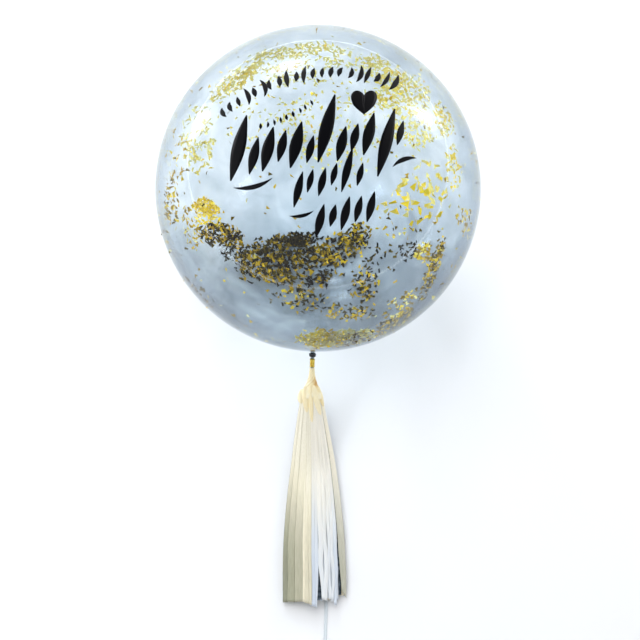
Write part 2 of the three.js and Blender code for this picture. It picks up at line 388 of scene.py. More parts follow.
@dataclass(frozen=True)
class WoundElastic:
    """Black covered elastic: fine threads laid round it, matt."""

    colour: str = "#0a0a0c"
    thread_spacing: float = 0.8 * MM

    def material(self) -> bpy.types.Material:
        """Builds the shader, with its threads drawn as a fine wave."""
        material, tree, shader = new_material("wound_black_elastic")
        set_inputs(shader, Base_Color=linear(self.colour), Roughness=0.7, Sheen_Weight=0.15)
        place = add_node(tree, "ShaderNodeTexCoord")
        threads = add_node(tree, "ShaderNodeTexWave", {"Scale": WAVE_SCALE / self.thread_spacing},
                           {"Vector": place.outputs["Object"]})
        bump = add_node(tree, "ShaderNodeBump", {"Strength": 0.4, "Distance": 0.2 * MM},
                        {"Height": threads.outputs["Fac"]})
        tree.links.new(bump.outputs[0], shader.inputs["Normal"])
        return material


@dataclass(frozen=True)
class CrinkledFoil:
    """Metallised wrap, crushed by hand: facets a few millimetres across, painted bright in the middle and
    dark towards the edges as painted highlight and painted shade.
    """

    name: str
    light: str
    painted_shade: str
    facet: float = 3 * MM
    roughness: float = 0.25

    def material(self) -> bpy.types.Material:
        """Builds the shader: two tones of the metal over each facet of a cell pattern, light in the middle as
        painted highlight and dark at the edges as painted shade, and the facets as a bump.
        """
        material, tree, shader = new_material(self.name)
        place = add_node(tree, "ShaderNodeTexCoord")
        cells = add_node(tree, "ShaderNodeTexVoronoi", {"Scale": 1 / self.facet},
                         {"Vector": place.outputs["Object"]})
        # Painted highlight and shade: each facet runs from the light tone in its middle to the dark one at
        # its edges.
        colour = add_node(tree, "ShaderNodeValToRGB", links={"Fac": cells.outputs["Distance"]},
                          stops=[(0.1, self.light), (0.8, self.painted_shade)])
        tree.links.new(colour.outputs["Color"], shader.inputs["Base Color"])
        set_inputs(shader, Metallic=1.0, Roughness=self.roughness)
        bump = add_node(tree, "ShaderNodeBump", {"Strength": 0.6, "Distance": 0.6 * MM},
                        {"Height": cells.outputs["Distance"]})
        tree.links.new(bump.outputs[0], shader.inputs["Normal"])
        return material


@dataclass(frozen=True)
class TissuePaper:
    """Machine-cut tissue paper: soft fibres along the strip, faint creases, each strip a shade apart."""

    name: str
    stops: tuple
    fibre: float = 1.2 * MM
    crease: float = 100 / 9 * MM
    stretch: float = 0.06
    fibre_gain: float = 0.3
    roughness: float = 0.75
    sheen: float = 0.15

    def material(self) -> bpy.types.Material:
        """Builds the shader: the strip's tone and long fibres pick the colour, creases lift the surface."""
        material, tree, shader = new_material(self.name)
        place = add_node(tree, "ShaderNodeTexCoord")
        along = add_node(tree, "ShaderNodeMapping", {"Scale": (1.0, self.stretch, 1.0)},
                         {"Vector": place.outputs["Object"]})
        fibres = add_node(tree, "ShaderNodeTexNoise", {"Scale": 1 / self.fibre, "Detail": 3.0},
                          {"Vector": along.outputs["Vector"]})
        colour = add_node(tree, "ShaderNodeValToRGB", stops=self.stops,
                          links={"Fac": spread_tone(tree, fibres.outputs["Fac"], self.fibre_gain)})
        tree.links.new(colour.outputs["Color"], shader.inputs["Base Color"])
        set_inputs(shader, Roughness=self.roughness, Sheen_Weight=self.sheen)
        creases = add_node(tree, "ShaderNodeTexNoise", {"Scale": 1 / self.crease, "Detail": 4.0},
                           {"Vector": along.outputs["Vector"]})
        bump = add_node(tree, "ShaderNodeBump", {"Strength": 0.35, "Distance": 1.0 * MM},
                        {"Height": creases.outputs["Fac"]})
        tree.links.new(bump.outputs[0], shader.inputs["Normal"])
        return material


@dataclass(frozen=True)
class CurlingRibbon:
    """Extruded polypropylene ribbon: glossy, whitish and a little see-through, with fine lines along it."""

    colour: str = "#ebf2f7"
    line_spacing: float = 1 / 6 * MM

    def material(self) -> bpy.types.Material:
        """Builds the shader, with the drawn lines as a low bump."""
        material, tree, shader = new_material("extruded_clear_ribbon")
        set_inputs(shader, Base_Color=linear(self.colour), Roughness=0.22, IOR=1.49, Transmission_Weight=0.35,
                   Coat_Weight=0.5)
        place = add_node(tree, "ShaderNodeTexCoord")
        lines = add_node(tree, "ShaderNodeTexWave", {"Scale": WAVE_SCALE / self.line_spacing},
                         {"Vector": place.outputs["Object"]})
        bump = add_node(tree, "ShaderNodeBump", {"Strength": 0.2, "Distance": 0.1 * MM},
                        {"Height": lines.outputs["Fac"]})
        tree.links.new(bump.outputs[0], shader.inputs["Normal"])
        return material


@dataclass(frozen=True)
class PaleFloor:
    """Painted studio floor: pale and matt, with the slightest mottling."""

    colour: str = "#f4f5f6"
    mottle_colour: str = "#f2f3f5"
    mottle: float = 1000 / 3 * MM

    def material(self) -> bpy.types.Material:
        """Builds the shader."""
        material, tree, shader = new_material("painted_studio_floor")
        place = add_node(tree, "ShaderNodeTexCoord")
        mottle = add_node(tree, "ShaderNodeTexNoise", {"Scale": 1 / self.mottle},
                          {"Vector": place.outputs["Object"]})
        colour = add_node(tree, "ShaderNodeValToRGB", links={"Fac": mottle.outputs["Fac"]},
                          stops=[(0.0, self.mottle_colour), (1.0, self.colour)])
        tree.links.new(colour.outputs["Color"], shader.inputs["Base Color"])
        set_inputs(shader, Roughness=0.9, Specular_IOR_Level=0.0)
        return material


@dataclass
class Viewpoint:
    """The camera: it looks down on the lying balloon as the photograph looks at the upright one."""

    ball_centre: Vector
    distance: float = 3.0
    down_degrees: float = 64.0
    picture_size: float = 640.0
    ball_radius_px: float = 162.5
    ball_offset_px: tuple = (-2.0, 130.5)
    sensor: float = 36.0
    ball_radius: float = BALL_RADIUS
    rim_limit: float = 0.985

    @property
    def focal_px(self) -> float:
        """Focal length in pixels of the picture, from the ball's size in it."""
        return self.ball_radius_px * math.sqrt(self.distance ** 2 - self.ball_radius ** 2) / self.ball_radius

    @property
    def towards_eye(self) -> Vector:
        """Direction from the ball's centre to the camera."""
        down = math.radians(self.down_degrees)
        return Vector((0.0, -math.cos(down), math.sin(down)))

    @property
    def eye(self) -> Vector:
        """The camera's place."""
        side = -self.ball_offset_px[0] / self.focal_px * self.distance
        return self.ball_centre + self.towards_eye * self.distance + ACROSS * side

    @property
    def picture_up(self) -> Vector:
        """Direction at the ball that points up the picture."""
        return self.towards_eye.cross(ACROSS).normalized()

    def make(self) -> None:
        """Adds the camera and makes it the scene's."""
        data = bpy.data.cameras.new("camera")
        data.sensor_width = self.sensor
        data.lens = self.focal_px / self.picture_size * self.sensor
        data.dof.use_dof = False
        camera = bpy.data.objects.new("camera", data)
        rise = math.atan2(self.ball_offset_px[1], self.focal_px)
        camera.location = self.eye
        camera.rotation_euler = (math.pi / 2 - math.radians(self.down_degrees) - rise, 0.0, 0.0)
        bpy.context.scene.collection.objects.link(camera)
        bpy.context.scene.camera = camera

    def on_wall(self, right: float, up: float, wall: Wall) -> Vector:
        """Finds where a line of sight meets the ball.

        Args:
            right: how far right of the ball's centre the line passes, in metres.
            up: how far up the picture from the centre it passes.
            wall: the near or the far wall.

        Returns:
            The direction from the ball's centre to that point, one long.
        """
        limit = self.ball_radius * self.rim_limit
        reach = math.hypot(right, up)
        if reach > limit:
            right, up = right * limit / reach, up * limit / reach
        eye = self.towards_eye * self.distance
        ray = (ACROSS * right + self.picture_up * up - eye).normalized()
        middle = -ray.dot(eye)
        half = math.sqrt(max(self.ball_radius ** 2 - (eye + ray * middle).length_squared, 0.0))
        return (eye + ray * (middle + wall.value * half)).normalized()

    def lamp_direction(self, right: float, up: float) -> Vector:
        """Finds where a lamp stands whose glint on the ball's near wall is seen at a place.

        Args:
            right: how far right of the ball's centre the glint is seen, in metres.
            up: how far up the picture from the centre it is seen.

        Returns:
            The direction from the ball to the lamp.
        """
        reach = math.hypot(right, up)
        tilt = math.asin(min(reach / self.ball_radius, 1.0))
        outward = (ACROSS * right + self.picture_up * up) / reach
        return self.towards_eye * math.cos(2 * tilt) + outward * math.sin(2 * tilt)


@dataclass
class Ribbon:
    """The flat ribbon: from the neck down to the floor, under the tassel and on to its coil."""

    width: float = 6 * MM
    thickness: float = 0.35 * MM
    length: float = 1.6
    coil_centre: tuple = (-0.037, -0.845)
    coil_height: float = 1.6 * MM
    coil_start_radius: float = 49 * MM
    coil_pitch: float = 6.5 * MM
    points_per_turn: int = 36
    curl: float = 0.25 * MM
    flat_below: float = 5 * MM
    route: tuple = (
        (-0.0106, -0.2623, 0.1140), (-0.0108, -0.2702, 0.1084), (-0.0109, -0.2780, 0.1018),
        (-0.0110, -0.2846, 0.0936), (-0.0110, -0.2894, 0.0836), (-0.0110, -0.2926, 0.0720),
        (-0.0110, -0.2949, 0.0590), (-0.0108, -0.2972, 0.0455), (-0.0105, -0.3008, 0.0320),
        (-0.0100, -0.3068, 0.0192), (-0.0094, -0.3162, 0.0088), (-0.0084, -0.3288, 0.0032),
        (-0.0072, -0.3430, 0.0015), (-0.0050, -0.3620, 0.0011), (-0.0022, -0.3810, 0.0010),
        (0.0019, -0.4020, 0.0010), (0.0047, -0.4260, 0.0010), (0.0069, -0.4520, 0.0010),
        (0.0086, -0.4820, 0.0010), (0.0106, -0.5200, 0.0010), (0.0122, -0.5600, 0.0010),
        (0.0135, -0.6000, 0.0010), (0.0144, -0.6400, 0.0010), (0.0149, -0.6800, 0.0010),
        (0.0150, -0.7150, 0.0010), (0.0142, -0.7480, 0.0010), (0.0130, -0.7780, 0.0011),
        (0.0122, -0.8020, 0.0014), (0.0120, -0.8188, 0.0016),
    )

    def coil(self, length: float) -> list[Vector]:
        """Winds a length of ribbon into flat turns.

        Args:
            length: how much of it there is.

        Returns:
            The points along its turns, from the outside in.
        """
        points, angle, done = [], 0.0, 0.0
        step = 2 * math.pi / self.points_per_turn
        while done < length:
            radius = self.coil_start_radius - self.coil_pitch * angle / (2 * math.pi)
            points.append(Vector((self.coil_centre[0] + radius * math.cos(-angle),
                                  self.coil_centre[1] + radius * math.sin(-angle), self.coil_height)))
            if len(points) > 1:
                done += (points[-1] - points[-2]).length
            angle += step
        return points

    def path(self) -> list[Vector]:
        """The ribbon's centre line, from the neck to its cut end."""
        line = smooth_line(self.route, 3)
        so_far = sum((b - a).length for a, b in zip(line, line[1:]))
        gap = abs(self.route[-1][1] - self.coil_centre[1])
        return line + self.coil(self.length - so_far - gap)

    def make(self, tie: bpy.types.Object) -> bpy.types.Object:
        """Args:
            tie: the piece that holds the coil. It is not used.

        Returns:
            The ribbon.
        """
        path = self.path()
        vertices = {1: [], -1: []}
        side = ACROSS.copy()
        for index, point in enumerate(path):
            ahead = (path[min(index + 1, len(path) - 1)] - path[max(index - 1, 0)]).normalized()
            side = (side - ahead * side.dot(ahead)).normalized()
            if point.z < self.flat_below:
                side = ahead.cross(UP).normalized()
            lift = side.cross(ahead).normalized()
            for share in (-0.5, -0.25, 0.0, 0.25, 0.5):
                curl = lift * (self.curl * (4 * share * share - 0.5))
                for level in vertices:
                    edge = point + side * (share * self.width) + curl + lift * (level * self.thickness / 2)
                    vertices[level].append(edge)
        ribbon = make_piece("ribbon_flat", vertices[1] + vertices[-1], sheet_faces(len(path), 5),
                            CurlingRibbon().material())
        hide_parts("ribbon", "ribbon_coil")
        return ribbon


@dataclass
class CoilTie:
    """A short band of twisted white paper round the coiled ribbon, pinched a little along its middle."""

    band_width: float = 6 * MM
    band_thickness: float = 0.45 * MM
    corners: int = 40
    squareness: float = 0.25
    pinch: float = 0.04
    rows: tuple = (-0.5, -0.2, 0.2, 0.5)

    def make(self) -> bpy.types.Object:
        """Builds the band round the coil's turns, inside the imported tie's own outline."""
        low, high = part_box("coil_tie")
        middle = (Vector(low) + Vector(high)) / 2
        half_length = (high[0] - low[0]) / 2
        half_height = (high[2] - low[2]) / 2
        outline, corners = [], self.corners
        for index in range(corners):
            angle = 2 * math.pi * index / corners
            c, s = math.cos(angle), math.sin(angle)
            outline.append((math.copysign(abs(c) ** self.squareness, c),
                            math.copysign(abs(s) ** self.squareness, s)))
        vertices = []
        for inset in (0.0, self.band_thickness):
            for row in self.rows:
                pinch = 1 - self.pinch * math.cos(math.pi * row)
                for c, s in outline:
                    vertices.append(middle + Vector(((half_length - inset) * c, self.band_width * row,
                                                     (half_height * pinch - inset) * s)))
        shift = len(self.rows) * corners
        faces = ring_faces(len(self.rows) - 1, corners)
        faces += [face[::-1] for face in ring_faces(len(self.rows) - 1, corners, shift)]
        for row in (0, len(self.rows) - 1):
            for index in range(corners):
                a, b = row * corners + index, row * corners + (index + 1) % corners
                face = [a, a + shift, b + shift, b]
                faces.append(face if row == 0 else face[::-1])
        tie = make_piece("coil_tie_band", vertices, faces,
                         TissuePaper("twisted_tie_paper", ((0.0, "#dcdcd6"), (1.0, "#f7f7f4"))).material(),
                         tones=[0.6] * len(vertices))
        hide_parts("coil_tie")
        return tie


@dataclass(frozen=True)
class Drift:
    """One patch of confetti, placed as the camera sees it, in millimetres from the ball's centre. Its tone
    range sets its painted light, from painted shade to painted glint.
    """

    centre: tuple
    spread: tuple
    count: int
    tone: tuple
    turn: float = 0.0
    wall: Wall = Wall.FAR
    depth: float = 1.5
    flake: float = 1.0


@dataclass(frozen=True)
class DabRow:
    """One row of small brush dabs on an arc, in millimetres from the ball's centre as the camera sees it."""

    middle: tuple
    radius: float
    first_degrees: float
    last_degrees: float
    count: int
    height: float
    weight: float


@dataclass(frozen=True)
class Dab:
    """One brush dab: its middle, height and greatest width in millimetres, its lean and how far it bows."""

    middle: tuple
    height: float
    weight: float
    lean: float = 14.0
    bow: float = 0.0


@dataclass
class Balloon:
    """The clear ball with its gathered neck, the brush strokes on it and the confetti in it.

    The film's tone is a base with more round the neck, for thicker film and painted shade, and a little more
    towards the right, which is painted shade.
    """

    view: Viewpoint
    radius: float = BALL_RADIUS
    centre: Vector = field(default_factory=Vector)
    neck_slope_degrees: float = 34.0
    neck_lean_degrees: float = 1.9
    neck_radius: float = 3.2 * MM
    neck_length: float = 40 * MM
    funnel_radius: float = 40 * MM
    tie_offset: float = 11.5 * MM
    segments: int = 160
    rings: int = 96
    funnel_rings: int = 14
    pleats: int = 18
    pleat_depth: float = 4.0 * MM
    pleat_share: float = 0.22
    tied_pleat_share: float = 0.08
    pleat_reach: float = 1.6
    confetti_seed: int = 24
    stroke_seed: int = 7
    flake_length: float = 8.6 * MM
    flake_width: float = 4.2 * MM
    flake_thickness: float = 0.12 * MM
    flake_tilt: float = 0.35
    flake_share: tuple = (0.35, 0.6)
    floor_gap: float = 0.4 * MM
    stroke_lift: float = 0.5 * MM
    stroke_base: float = 0.15 * MM
    heart_place: tuple = (85, 161)
    heart_size: float = 50
    dense_share: float = 0.62
    film_tone: float = 0.29
    neck_thickness_and_shade: float = 0.5
    painted_side_shade: float = 0.13
    # Each drift's tone range is painted light: low tones paint shade on the heap, high tones paint glints on
    # the pale flakes above.
    drifts: tuple = (
        Drift((-60, -112), (72, 30), 210, (0.0, 0.62), turn=4, depth=8, flake=1.15),
        Drift((-96, -138), (60, 32), 160, (0.0, 0.72), turn=-18, depth=8, flake=1.15),
        Drift((-20, -150), (76, 38), 220, (0.0, 0.74), turn=8, depth=8, flake=1.15),
        Drift((46, -106), (48, 28), 160, (0.0, 0.8), turn=28, depth=8, flake=1.15),
        Drift((76, -82), (24, 20), 70, (0.1, 0.9), depth=6),
        Drift((-48, -94), (48, 13), 120, (0.0, 0.22), turn=8, depth=8),
        Drift((-182, -86), (44, 24), 210, (0.0, 0.78), turn=-10, depth=6, flake=1.1),
        Drift((-152, -124), (34, 24), 84, (0.0, 0.25), turn=-30, depth=4, flake=0.8),
        Drift((-118, -150), (34, 26), 90, (0.1, 0.75), turn=-30, depth=6),
        Drift((86, -178), (30, 34), 84, (0.0, 0.85), turn=10, depth=6, flake=1.1),
        Drift((-34, -206), (62, 22), 84, (0.1, 0.85), turn=-6, depth=4),
        Drift((60, -228), (50, 16), 80, (0.2, 0.85), depth=4),
        Drift((120, -128), (48, 40), 34, (0.05, 0.5)),
        Drift((-208, -32), (26, 15), 130, (0.8, 0.94), turn=-20),
        Drift((-206, -56), (24, 18), 60, (0.86, 0.94), turn=-20),
        Drift((-238, -70), (16, 42), 46, (0.6, 0.95), turn=8),
        Drift((12, -279), (46, 17), 340, (0.8, 0.97), wall=Wall.NEAR),
        Drift((72, -280), (46, 15), 170, (0.3, 1.0), turn=12, wall=Wall.NEAR),
        Drift((76, -268), (34, 9), 60, (0.93, 1.0), wall=Wall.NEAR),
        Drift((140, -250), (44, 13), 110, (0.2, 0.9), turn=32),
        Drift((158, -216), (40, 22), 80, (0.5, 1.0), turn=38),
        Drift((214, -148), (11, 62), 170, (0.35, 0.85), turn=-20),
        Drift((198, -118), (16, 24), 60, (0.6, 0.97), turn=-12),
        Drift((172, -114), (24, 18), 40, (0.0, 0.35), flake=0.8),
        Drift((184, -26), (62, 44), 44, (0.84, 0.95), wall=Wall.NEAR, flake=1.5),
        Drift((150, -60), (50, 30), 24, (0.3, 0.9)),
        Drift((-146, 206), (66, 20), 200, (0.93, 1.0), turn=40),
        Drift((-152, 198), (50, 8), 50, (0.86, 1.0), turn=40),
        Drift((-46, 254), (80, 13), 170, (0.93, 1.0), turn=8),
        Drift((-42, 218), (78, 32), 130, (0.93, 1.0), flake=0.9),
        Drift((60, 240), (60, 18), 100, (0.93, 1.0), turn=-10),
        Drift((124, 212), (50, 24), 170, (0.9, 1.0), turn=-35),
        Drift((176, 182), (42, 26), 140, (0.9, 1.0), turn=-48),
        Drift((134, 168), (36, 22), 110, (0.9, 1.0), turn=-20),
        Drift((232, 128), (18, 36), 84, (0.84, 1.0), turn=20),
        Drift((176, 112), (48, 32), 130, (0.93, 1.0), turn=-30),
        Drift((252, 34), (16, 50), 60, (0.84, 1.0), turn=4),
        Drift((206, 20), (30, 44), 34, (0.86, 0.97), flake=1.4),
        Drift((40, 120), (120, 90), 200, (0.92, 1.0), flake=0.95),
        Drift((-90, 120), (90, 60), 70, (0.9, 1.0), flake=0.85),
        Drift((-222, 96), (32, 66), 120, (0.93, 1.0), flake=1.1),
        Drift((-262, 60), (20, 60), 40, (0.7, 0.95)),
        Drift((-273, -26), (13, 50), 70, (0.5, 0.9)),
        Drift((272, -58), (13, 34), 44, (0.55, 0.9)),
        Drift((-232, -196), (46, 30), 40, (0.1, 0.6), turn=-40),
    )
    loose_flakes: int = 300
    dab_rows: tuple = (
        DabRow((32, -106), 321, 131, 69, 21, 30, 9.5),
        DabRow((-160, 360), 250, 281, 308, 9, 17, 5.4),
    )
    dabs: tuple = (
        Dab((-146, 76), 124, 25), Dab((-118, 62), 70, 18), Dab((-92, 74), 84, 22), Dab((-66, 80), 60, 17),
        Dab((-40, 82), 88, 23), Dab((-14, 74), 52, 15), Dab((16, 112), 128, 25), Dab((44, 84), 66, 19),
        Dab((68, 96), 52, 16), Dab((94, 102), 80, 21), Dab((126, 86), 128, 23), Dab((152, 104), 46, 13),
        Dab((-120, 12), 74, 9, lean=76, bow=0.1), Dab((160, 50), 46, 9, lean=70, bow=-0.12),
        Dab((-36, 0), 68, 15), Dab((-14, 16), 44, 12), Dab((8, 14), 54, 14), Dab((30, 28), 42, 12),
        Dab((54, 36), 84, 15), Dab((78, 28), 44, 12), Dab((-30, -44), 46, 7, lean=78, bow=0.1),
        Dab((4, -58), 64, 16), Dab((28, -48), 42, 14), Dab((51, -44), 64, 16), Dab((75, -36), 50, 14),
        Dab((98, -32), 58, 15),
    )

    def __post_init__(self) -> None:
        """Works out the neck's direction."""
        slope, lean = math.radians(self.neck_slope_degrees), math.radians(self.neck_lean_degrees)
        self.neck = Vector((-math.sin(lean), -math.cos(lean) * math.cos(slope),
                            -math.cos(lean) * math.sin(slope)))
        self.turn = Vector((0.0, 0.0, -1.0)).rotation_difference(self.neck)

    def outline(self) -> list[tuple[float, float]]:
        """Half outline from the neck's tip to the crown, as radius and height above the ball's centre."""
        points = [(self.neck_radius * 0.9, -self.radius - self.neck_length)]
        angle = math.asin(self.funnel_radius / self.radius)
        top = Vector((self.funnel_radius, -self.radius * math.cos(angle)))
        along = Vector((-math.cos(angle), -math.sin(angle)))
        start = Vector((self.neck_radius, -self.radius - self.tie_offset))
        leave = Vector((self.neck_radius, -self.radius - self.tie_offset * 0.3))
        arrive = top + along * self.funnel_radius * 0.45
        for step in range(self.funnel_rings + 1):
            place = bezier(start, leave, arrive, top, step / self.funnel_rings)
            points.append((place.x, place.y))
        for ring in range(1, self.rings + 1):
            polar = angle + (math.pi - angle) * ring / self.rings
            points.append((self.radius * math.sin(polar) if ring < self.rings else 0.0,
                           -self.radius * math.cos(polar)))
        return points

    def film(self) -> bpy.types.Object:
        """Builds the film, gathered in pleats at the neck and flat where it rests."""
        outline = self.outline()
        vertices = []
        for radius, height in outline[:-1]:
            fade = (self.funnel_radius * self.pleat_reach - radius) / self.funnel_radius
            depth = self.tied_pleat_share
            if radius > self.neck_radius * 1.2:
                depth = min(self.pleat_share, self.pleat_depth / radius) * max(0.0, min(1.0, fade))
            for segment in range(self.segments):
                angle = 2 * math.pi * segment / self.segments
                pleated = radius * (1 - depth * (0.5 + 0.5 * math.cos(self.pleats * angle)))
                vertices.append(Vector((pleated * math.cos(angle), pleated * math.sin(angle), height)))
        vertices.append(Vector((0.0, 0.0, self.radius)))
        crown = len(vertices) - 1
        last = crown - self.segments
        faces = ring_faces(len(outline) - 2, self.segments)
        faces += [[last + segment, last + (segment + 1) % self.segments, crown]
                  for segment in range(self.segments)]
        placed, tones = [], []
        for vertex in vertices:
            place = self.turn @ vertex + self.centre
            placed.append(Vector((place.x, place.y, max(place.z, 0.0))))
            # Painted shade: the tone rises round the neck, along with the film's real thickness there, and
            # towards the right.
            tones.append(self.film_tone
                         + self.neck_thickness_and_shade * ease(-vertex.z / self.radius / self.dense_share)
                         + self.painted_side_shade * place.x / self.radius)
        film = make_piece("clear_film", placed, faces, StretchedFilm().material(), tones=tones)
        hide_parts("balloon_envelope")
        return film

    def flake(self, heap: Solid, direction: Vector, inset: float, tone: float, size: float,
              dice: random.Random) -> None:
        """Adds one bent shred of foil just inside the film.

        Args:
            heap: the flakes gathered so far.
            direction: where it is, seen from the ball's centre.
            inset: how far it is from the film.
            tone: how bright it is.
            size: its size, as a share of the usual one.
            dice: the source of chance.
        """
        tilt = Vector([dice.gauss(0, self.flake_tilt) for _ in range(3)])
        normal = (-direction + tilt).normalized()
        along = normal.cross(Vector([dice.uniform(-1, 1) for _ in range(3)])).normalized()
        side = normal.cross(along)
        half_length = self.flake_length * size * dice.uniform(*self.flake_share)
        half_width = self.flake_width * size * dice.uniform(*self.flake_share)
        bend = half_length * dice.uniform(0.0, 0.35)
        lift = inset + half_length * 0.3
        middle = self.centre + direction * (self.radius - lift)
        upper, lower = [], []
        skew = dice.uniform(-0.8, 0.8)
        taper = dice.uniform(-0.9, 0.9)
        for share in (-1.0, 0.0, 1.0):
            for edge in (-1.0, 1.0):
                place = (middle + along * (half_length * (share + skew * edge * 0.4))
                         + side * (half_width * edge * (1 + taper * share)) + normal * (bend * share * share))
                place.z = max(place.z, self.floor_gap)
                upper.append(place + normal * (self.flake_thickness / 2))
                lower.append(place - normal * (self.flake_thickness / 2))
        heap.add(upper + lower, sheet_faces(3, 2), tone)

    def confetti(self) -> bpy.types.Object:
        """Builds the confetti: patches that cling to the film and a heap where the ball is lowest."""
        dice = random.Random(self.confetti_seed)
        heap = Solid()
        for drift in self.drifts:
            turn = math.radians(drift.turn)
            for _ in range(drift.count):
                reach = math.sqrt(dice.random()) * dice.uniform(0.75, 1.15)
                angle = dice.uniform(0, 2 * math.pi)
                x, y = reach * math.cos(angle) * drift.spread[0], reach * math.sin(angle) * drift.spread[1]
                right = drift.centre[0] + x * math.cos(turn) - y * math.sin(turn)
                up = drift.centre[1] + x * math.sin(turn) + y * math.cos(turn)
                direction = self.view.on_wall(right * MM, up * MM, drift.wall)
                inset = dice.uniform(0.3, drift.depth) * MM * max(0.15, 1 - reach)
                lean = 0.5 - 0.5 * math.cos(math.pi * dice.random())
                tone = drift.tone[0] + (drift.tone[1] - drift.tone[0]) * lean
                self.flake(heap, direction, inset, tone, drift.flake, dice)
        for _ in range(self.loose_flakes):
            direction = Vector([dice.gauss(0, 1) for _ in range(3)]).normalized()
            self.flake(heap, direction, 0.3 * MM, dice.uniform(0.4, 1.0), 0.9, dice)
        confetti = heap.piece("foil_confetti", ShreddedFoil().material(), smooth=False)
        return confetti

    def stroke(self, marks: Solid, points: list, widths: list, steps: int = 8) -> None:
        """Adds one brush stroke that lies on the film.

        Args:
            marks: the strokes gathered so far.
            points: the places it passes, right and up from the ball's centre as seen, in millimetres.
            widths: its width at each of them.
            steps: stretches between two of them.
        """
        line = smooth_line([(p[0], p[1], w) for p, w in zip(points, widths)], steps)
        upper, lower = [], []
        for index, place in enumerate(line):
            ahead = line[min(index + 1, len(line) - 1)] - line[max(index - 1, 0)]
            ahead = Vector((ahead.x, ahead.y)).normalized()
            half = max(place.z, 0.6) / 2
            for share in (-1.0, -0.5, 0.0, 0.5, 1.0):
                right = place.x - ahead.y * half * share
                up = place.y + ahead.x * half * share
                direction = self.view.on_wall(right * MM, up * MM, Wall.NEAR)
                upper.append(self.centre + direction * (self.radius + self.stroke_lift))
                lower.append(self.centre + direction * (self.radius + self.stroke_base))
        marks.add(upper + lower, [face[::-1] for face in sheet_faces(len(line), 5)])

    def dab_row(self, marks: Solid, row: DabRow, dice: random.Random) -> None:
        """Adds a row of separate slanting dabs on an arc or a rising line.

        Args:
            marks: the strokes gathered so far.
            row: the row's own sizes.
            dice: the source of chance.
        """
        for index in range(row.count):
            share = (index + 0.5) / row.count
            angle = math.radians(row.first_degrees + (row.last_degrees - row.first_degrees) * share)
            x = row.middle[0] + row.radius * math.cos(angle)
            y = row.middle[1] + row.radius * math.sin(angle)
            lean = 14 - math.degrees(angle - math.pi / 2) + dice.uniform(-6, 10)
            height = row.height * dice.choice((0.6, 0.66, 1.05))
            self.dab(marks, Dab((x, y), height, row.weight * dice.uniform(0.85, 1.15), lean,
                                dice.uniform(-0.2, 0.2)))

    def dab(self, marks: Solid, dab: Dab) -> None:
        """Adds one brush dab, thin at both ends and swelling between them.

        Args:
            marks: the strokes gathered so far.
            dab: its place and sizes.
        """
        lean = math.radians(dab.lean)
        along, aside = (math.sin(lean), math.cos(lean)), (math.cos(lean), -math.sin(lean))
        places, widths = [], []
        for share in (-1.0, -0.6, -0.2, 0.2, 0.6, 1.0):
            bow = dab.bow * dab.height * (1 - share * share)
            places.append(tuple(dab.middle[i] + along[i] * share * dab.height / 2 + aside[i] * bow
                                for i in (0, 1)))
            widths.append(dab.weight * max(0.1, 1 - abs(share) ** 1.8))
        self.stroke(marks, places, widths, 6)

    def heart(self, marks: Solid, middle: tuple, size: float) -> None:
        """Adds a plain heart as two leaning petals.

        Args:
            marks: the strokes gathered so far.
            middle: its place, as a stroke's points are given.
            size: its width in millimetres.
        """
        x, y = middle
        for side in (-1, 1):
            places = [(x - side * size * 0.02, y - size * 0.46), (x + side * size * 0.1, y - size * 0.24),
                      (x + side * size * 0.19, y - size * 0.02), (x + side * size * 0.23, y + size * 0.2),
                      (x + side * size * 0.22, y + size * 0.34), (x + side * size * 0.21, y + size * 0.4)]
            self.stroke(marks, places, [size * share for share in (0.03, 0.26, 0.46, 0.5, 0.34, 0.1)], 8)

    def lettering_place(self) -> bpy.types.Object:
        """Fills the place of the print with rows of brush strokes that spell nothing, and a small heart."""
        dice = random.Random(self.stroke_seed)
        marks = Solid()
        for row in self.dab_rows:
            self.dab_row(marks, row, dice)
        for dab in self.dabs:
            self.dab(marks, dab)
        self.heart(marks, self.heart_place, self.heart_size)
        strokes = marks.piece("brush_strokes", CutVinyl().material())
        return strokes


@dataclass
class Drape:
    """The line that the tassel follows: out of the neck, down, and along the floor."""

    start: Vector
    leaving: Vector
    stiffness: float = 90 * MM
    landing: tuple = (-8.5 * MM, -480 * MM)
    landing_reach: float = 70 * MM
    end: tuple = (-6 * MM, -711 * MM)
    floor_height: float = 11 * MM
    curve_steps: int = 240
    floor_steps: int = 60

    def __post_init__(self) -> None:
        """Samples the line, with the distance along it to each point."""
        landing = Vector((*self.landing, self.floor_height))
        before = Vector((self.landing[0], self.landing[1] + self.landing_reach, self.floor_height))
        leave = self.start + self.leaving * self.stiffness
        points = [bezier(self.start, leave, before, landing, step / self.curve_steps)
                  for step in range(self.curve_steps + 1)]
        end = Vector((*self.end, self.floor_height))
        points += [landing.lerp(end, step / self.floor_steps) for step in range(1, self.floor_steps + 1)]
        self.points = np.array([tuple(p) for p in points])
        gaps = np.linalg.norm(np.diff(self.points, axis=0), axis=1)
        self.distances = np.concatenate([[0.0], np.cumsum(gaps)])
        self.length = float(self.distances[-1])

    def place(self, distance: float) -> tuple[Vector, Vector]:
        """Point on the line, and the direction that is up from it.

        Args:
            distance: how far along the line, also past its end.

        Returns:
            The point and the direction.
        """
        def at(where: float) -> Vector:
            """Point at a distance between the line's ends."""
            return Vector([float(np.interp(where, self.distances, self.points[:, i])) for i in range(3)])

        inside = min(distance, self.length)
        behind = at(min(inside, self.length - 2 * MM) - 2 * MM)
        ahead = (at(min(inside + 2 * MM, self.length)) - behind).normalized()
        centre = at(inside) + ahead * max(distance - self.length, 0.0)
        return centre, ahead.cross(ACROSS).normalized()


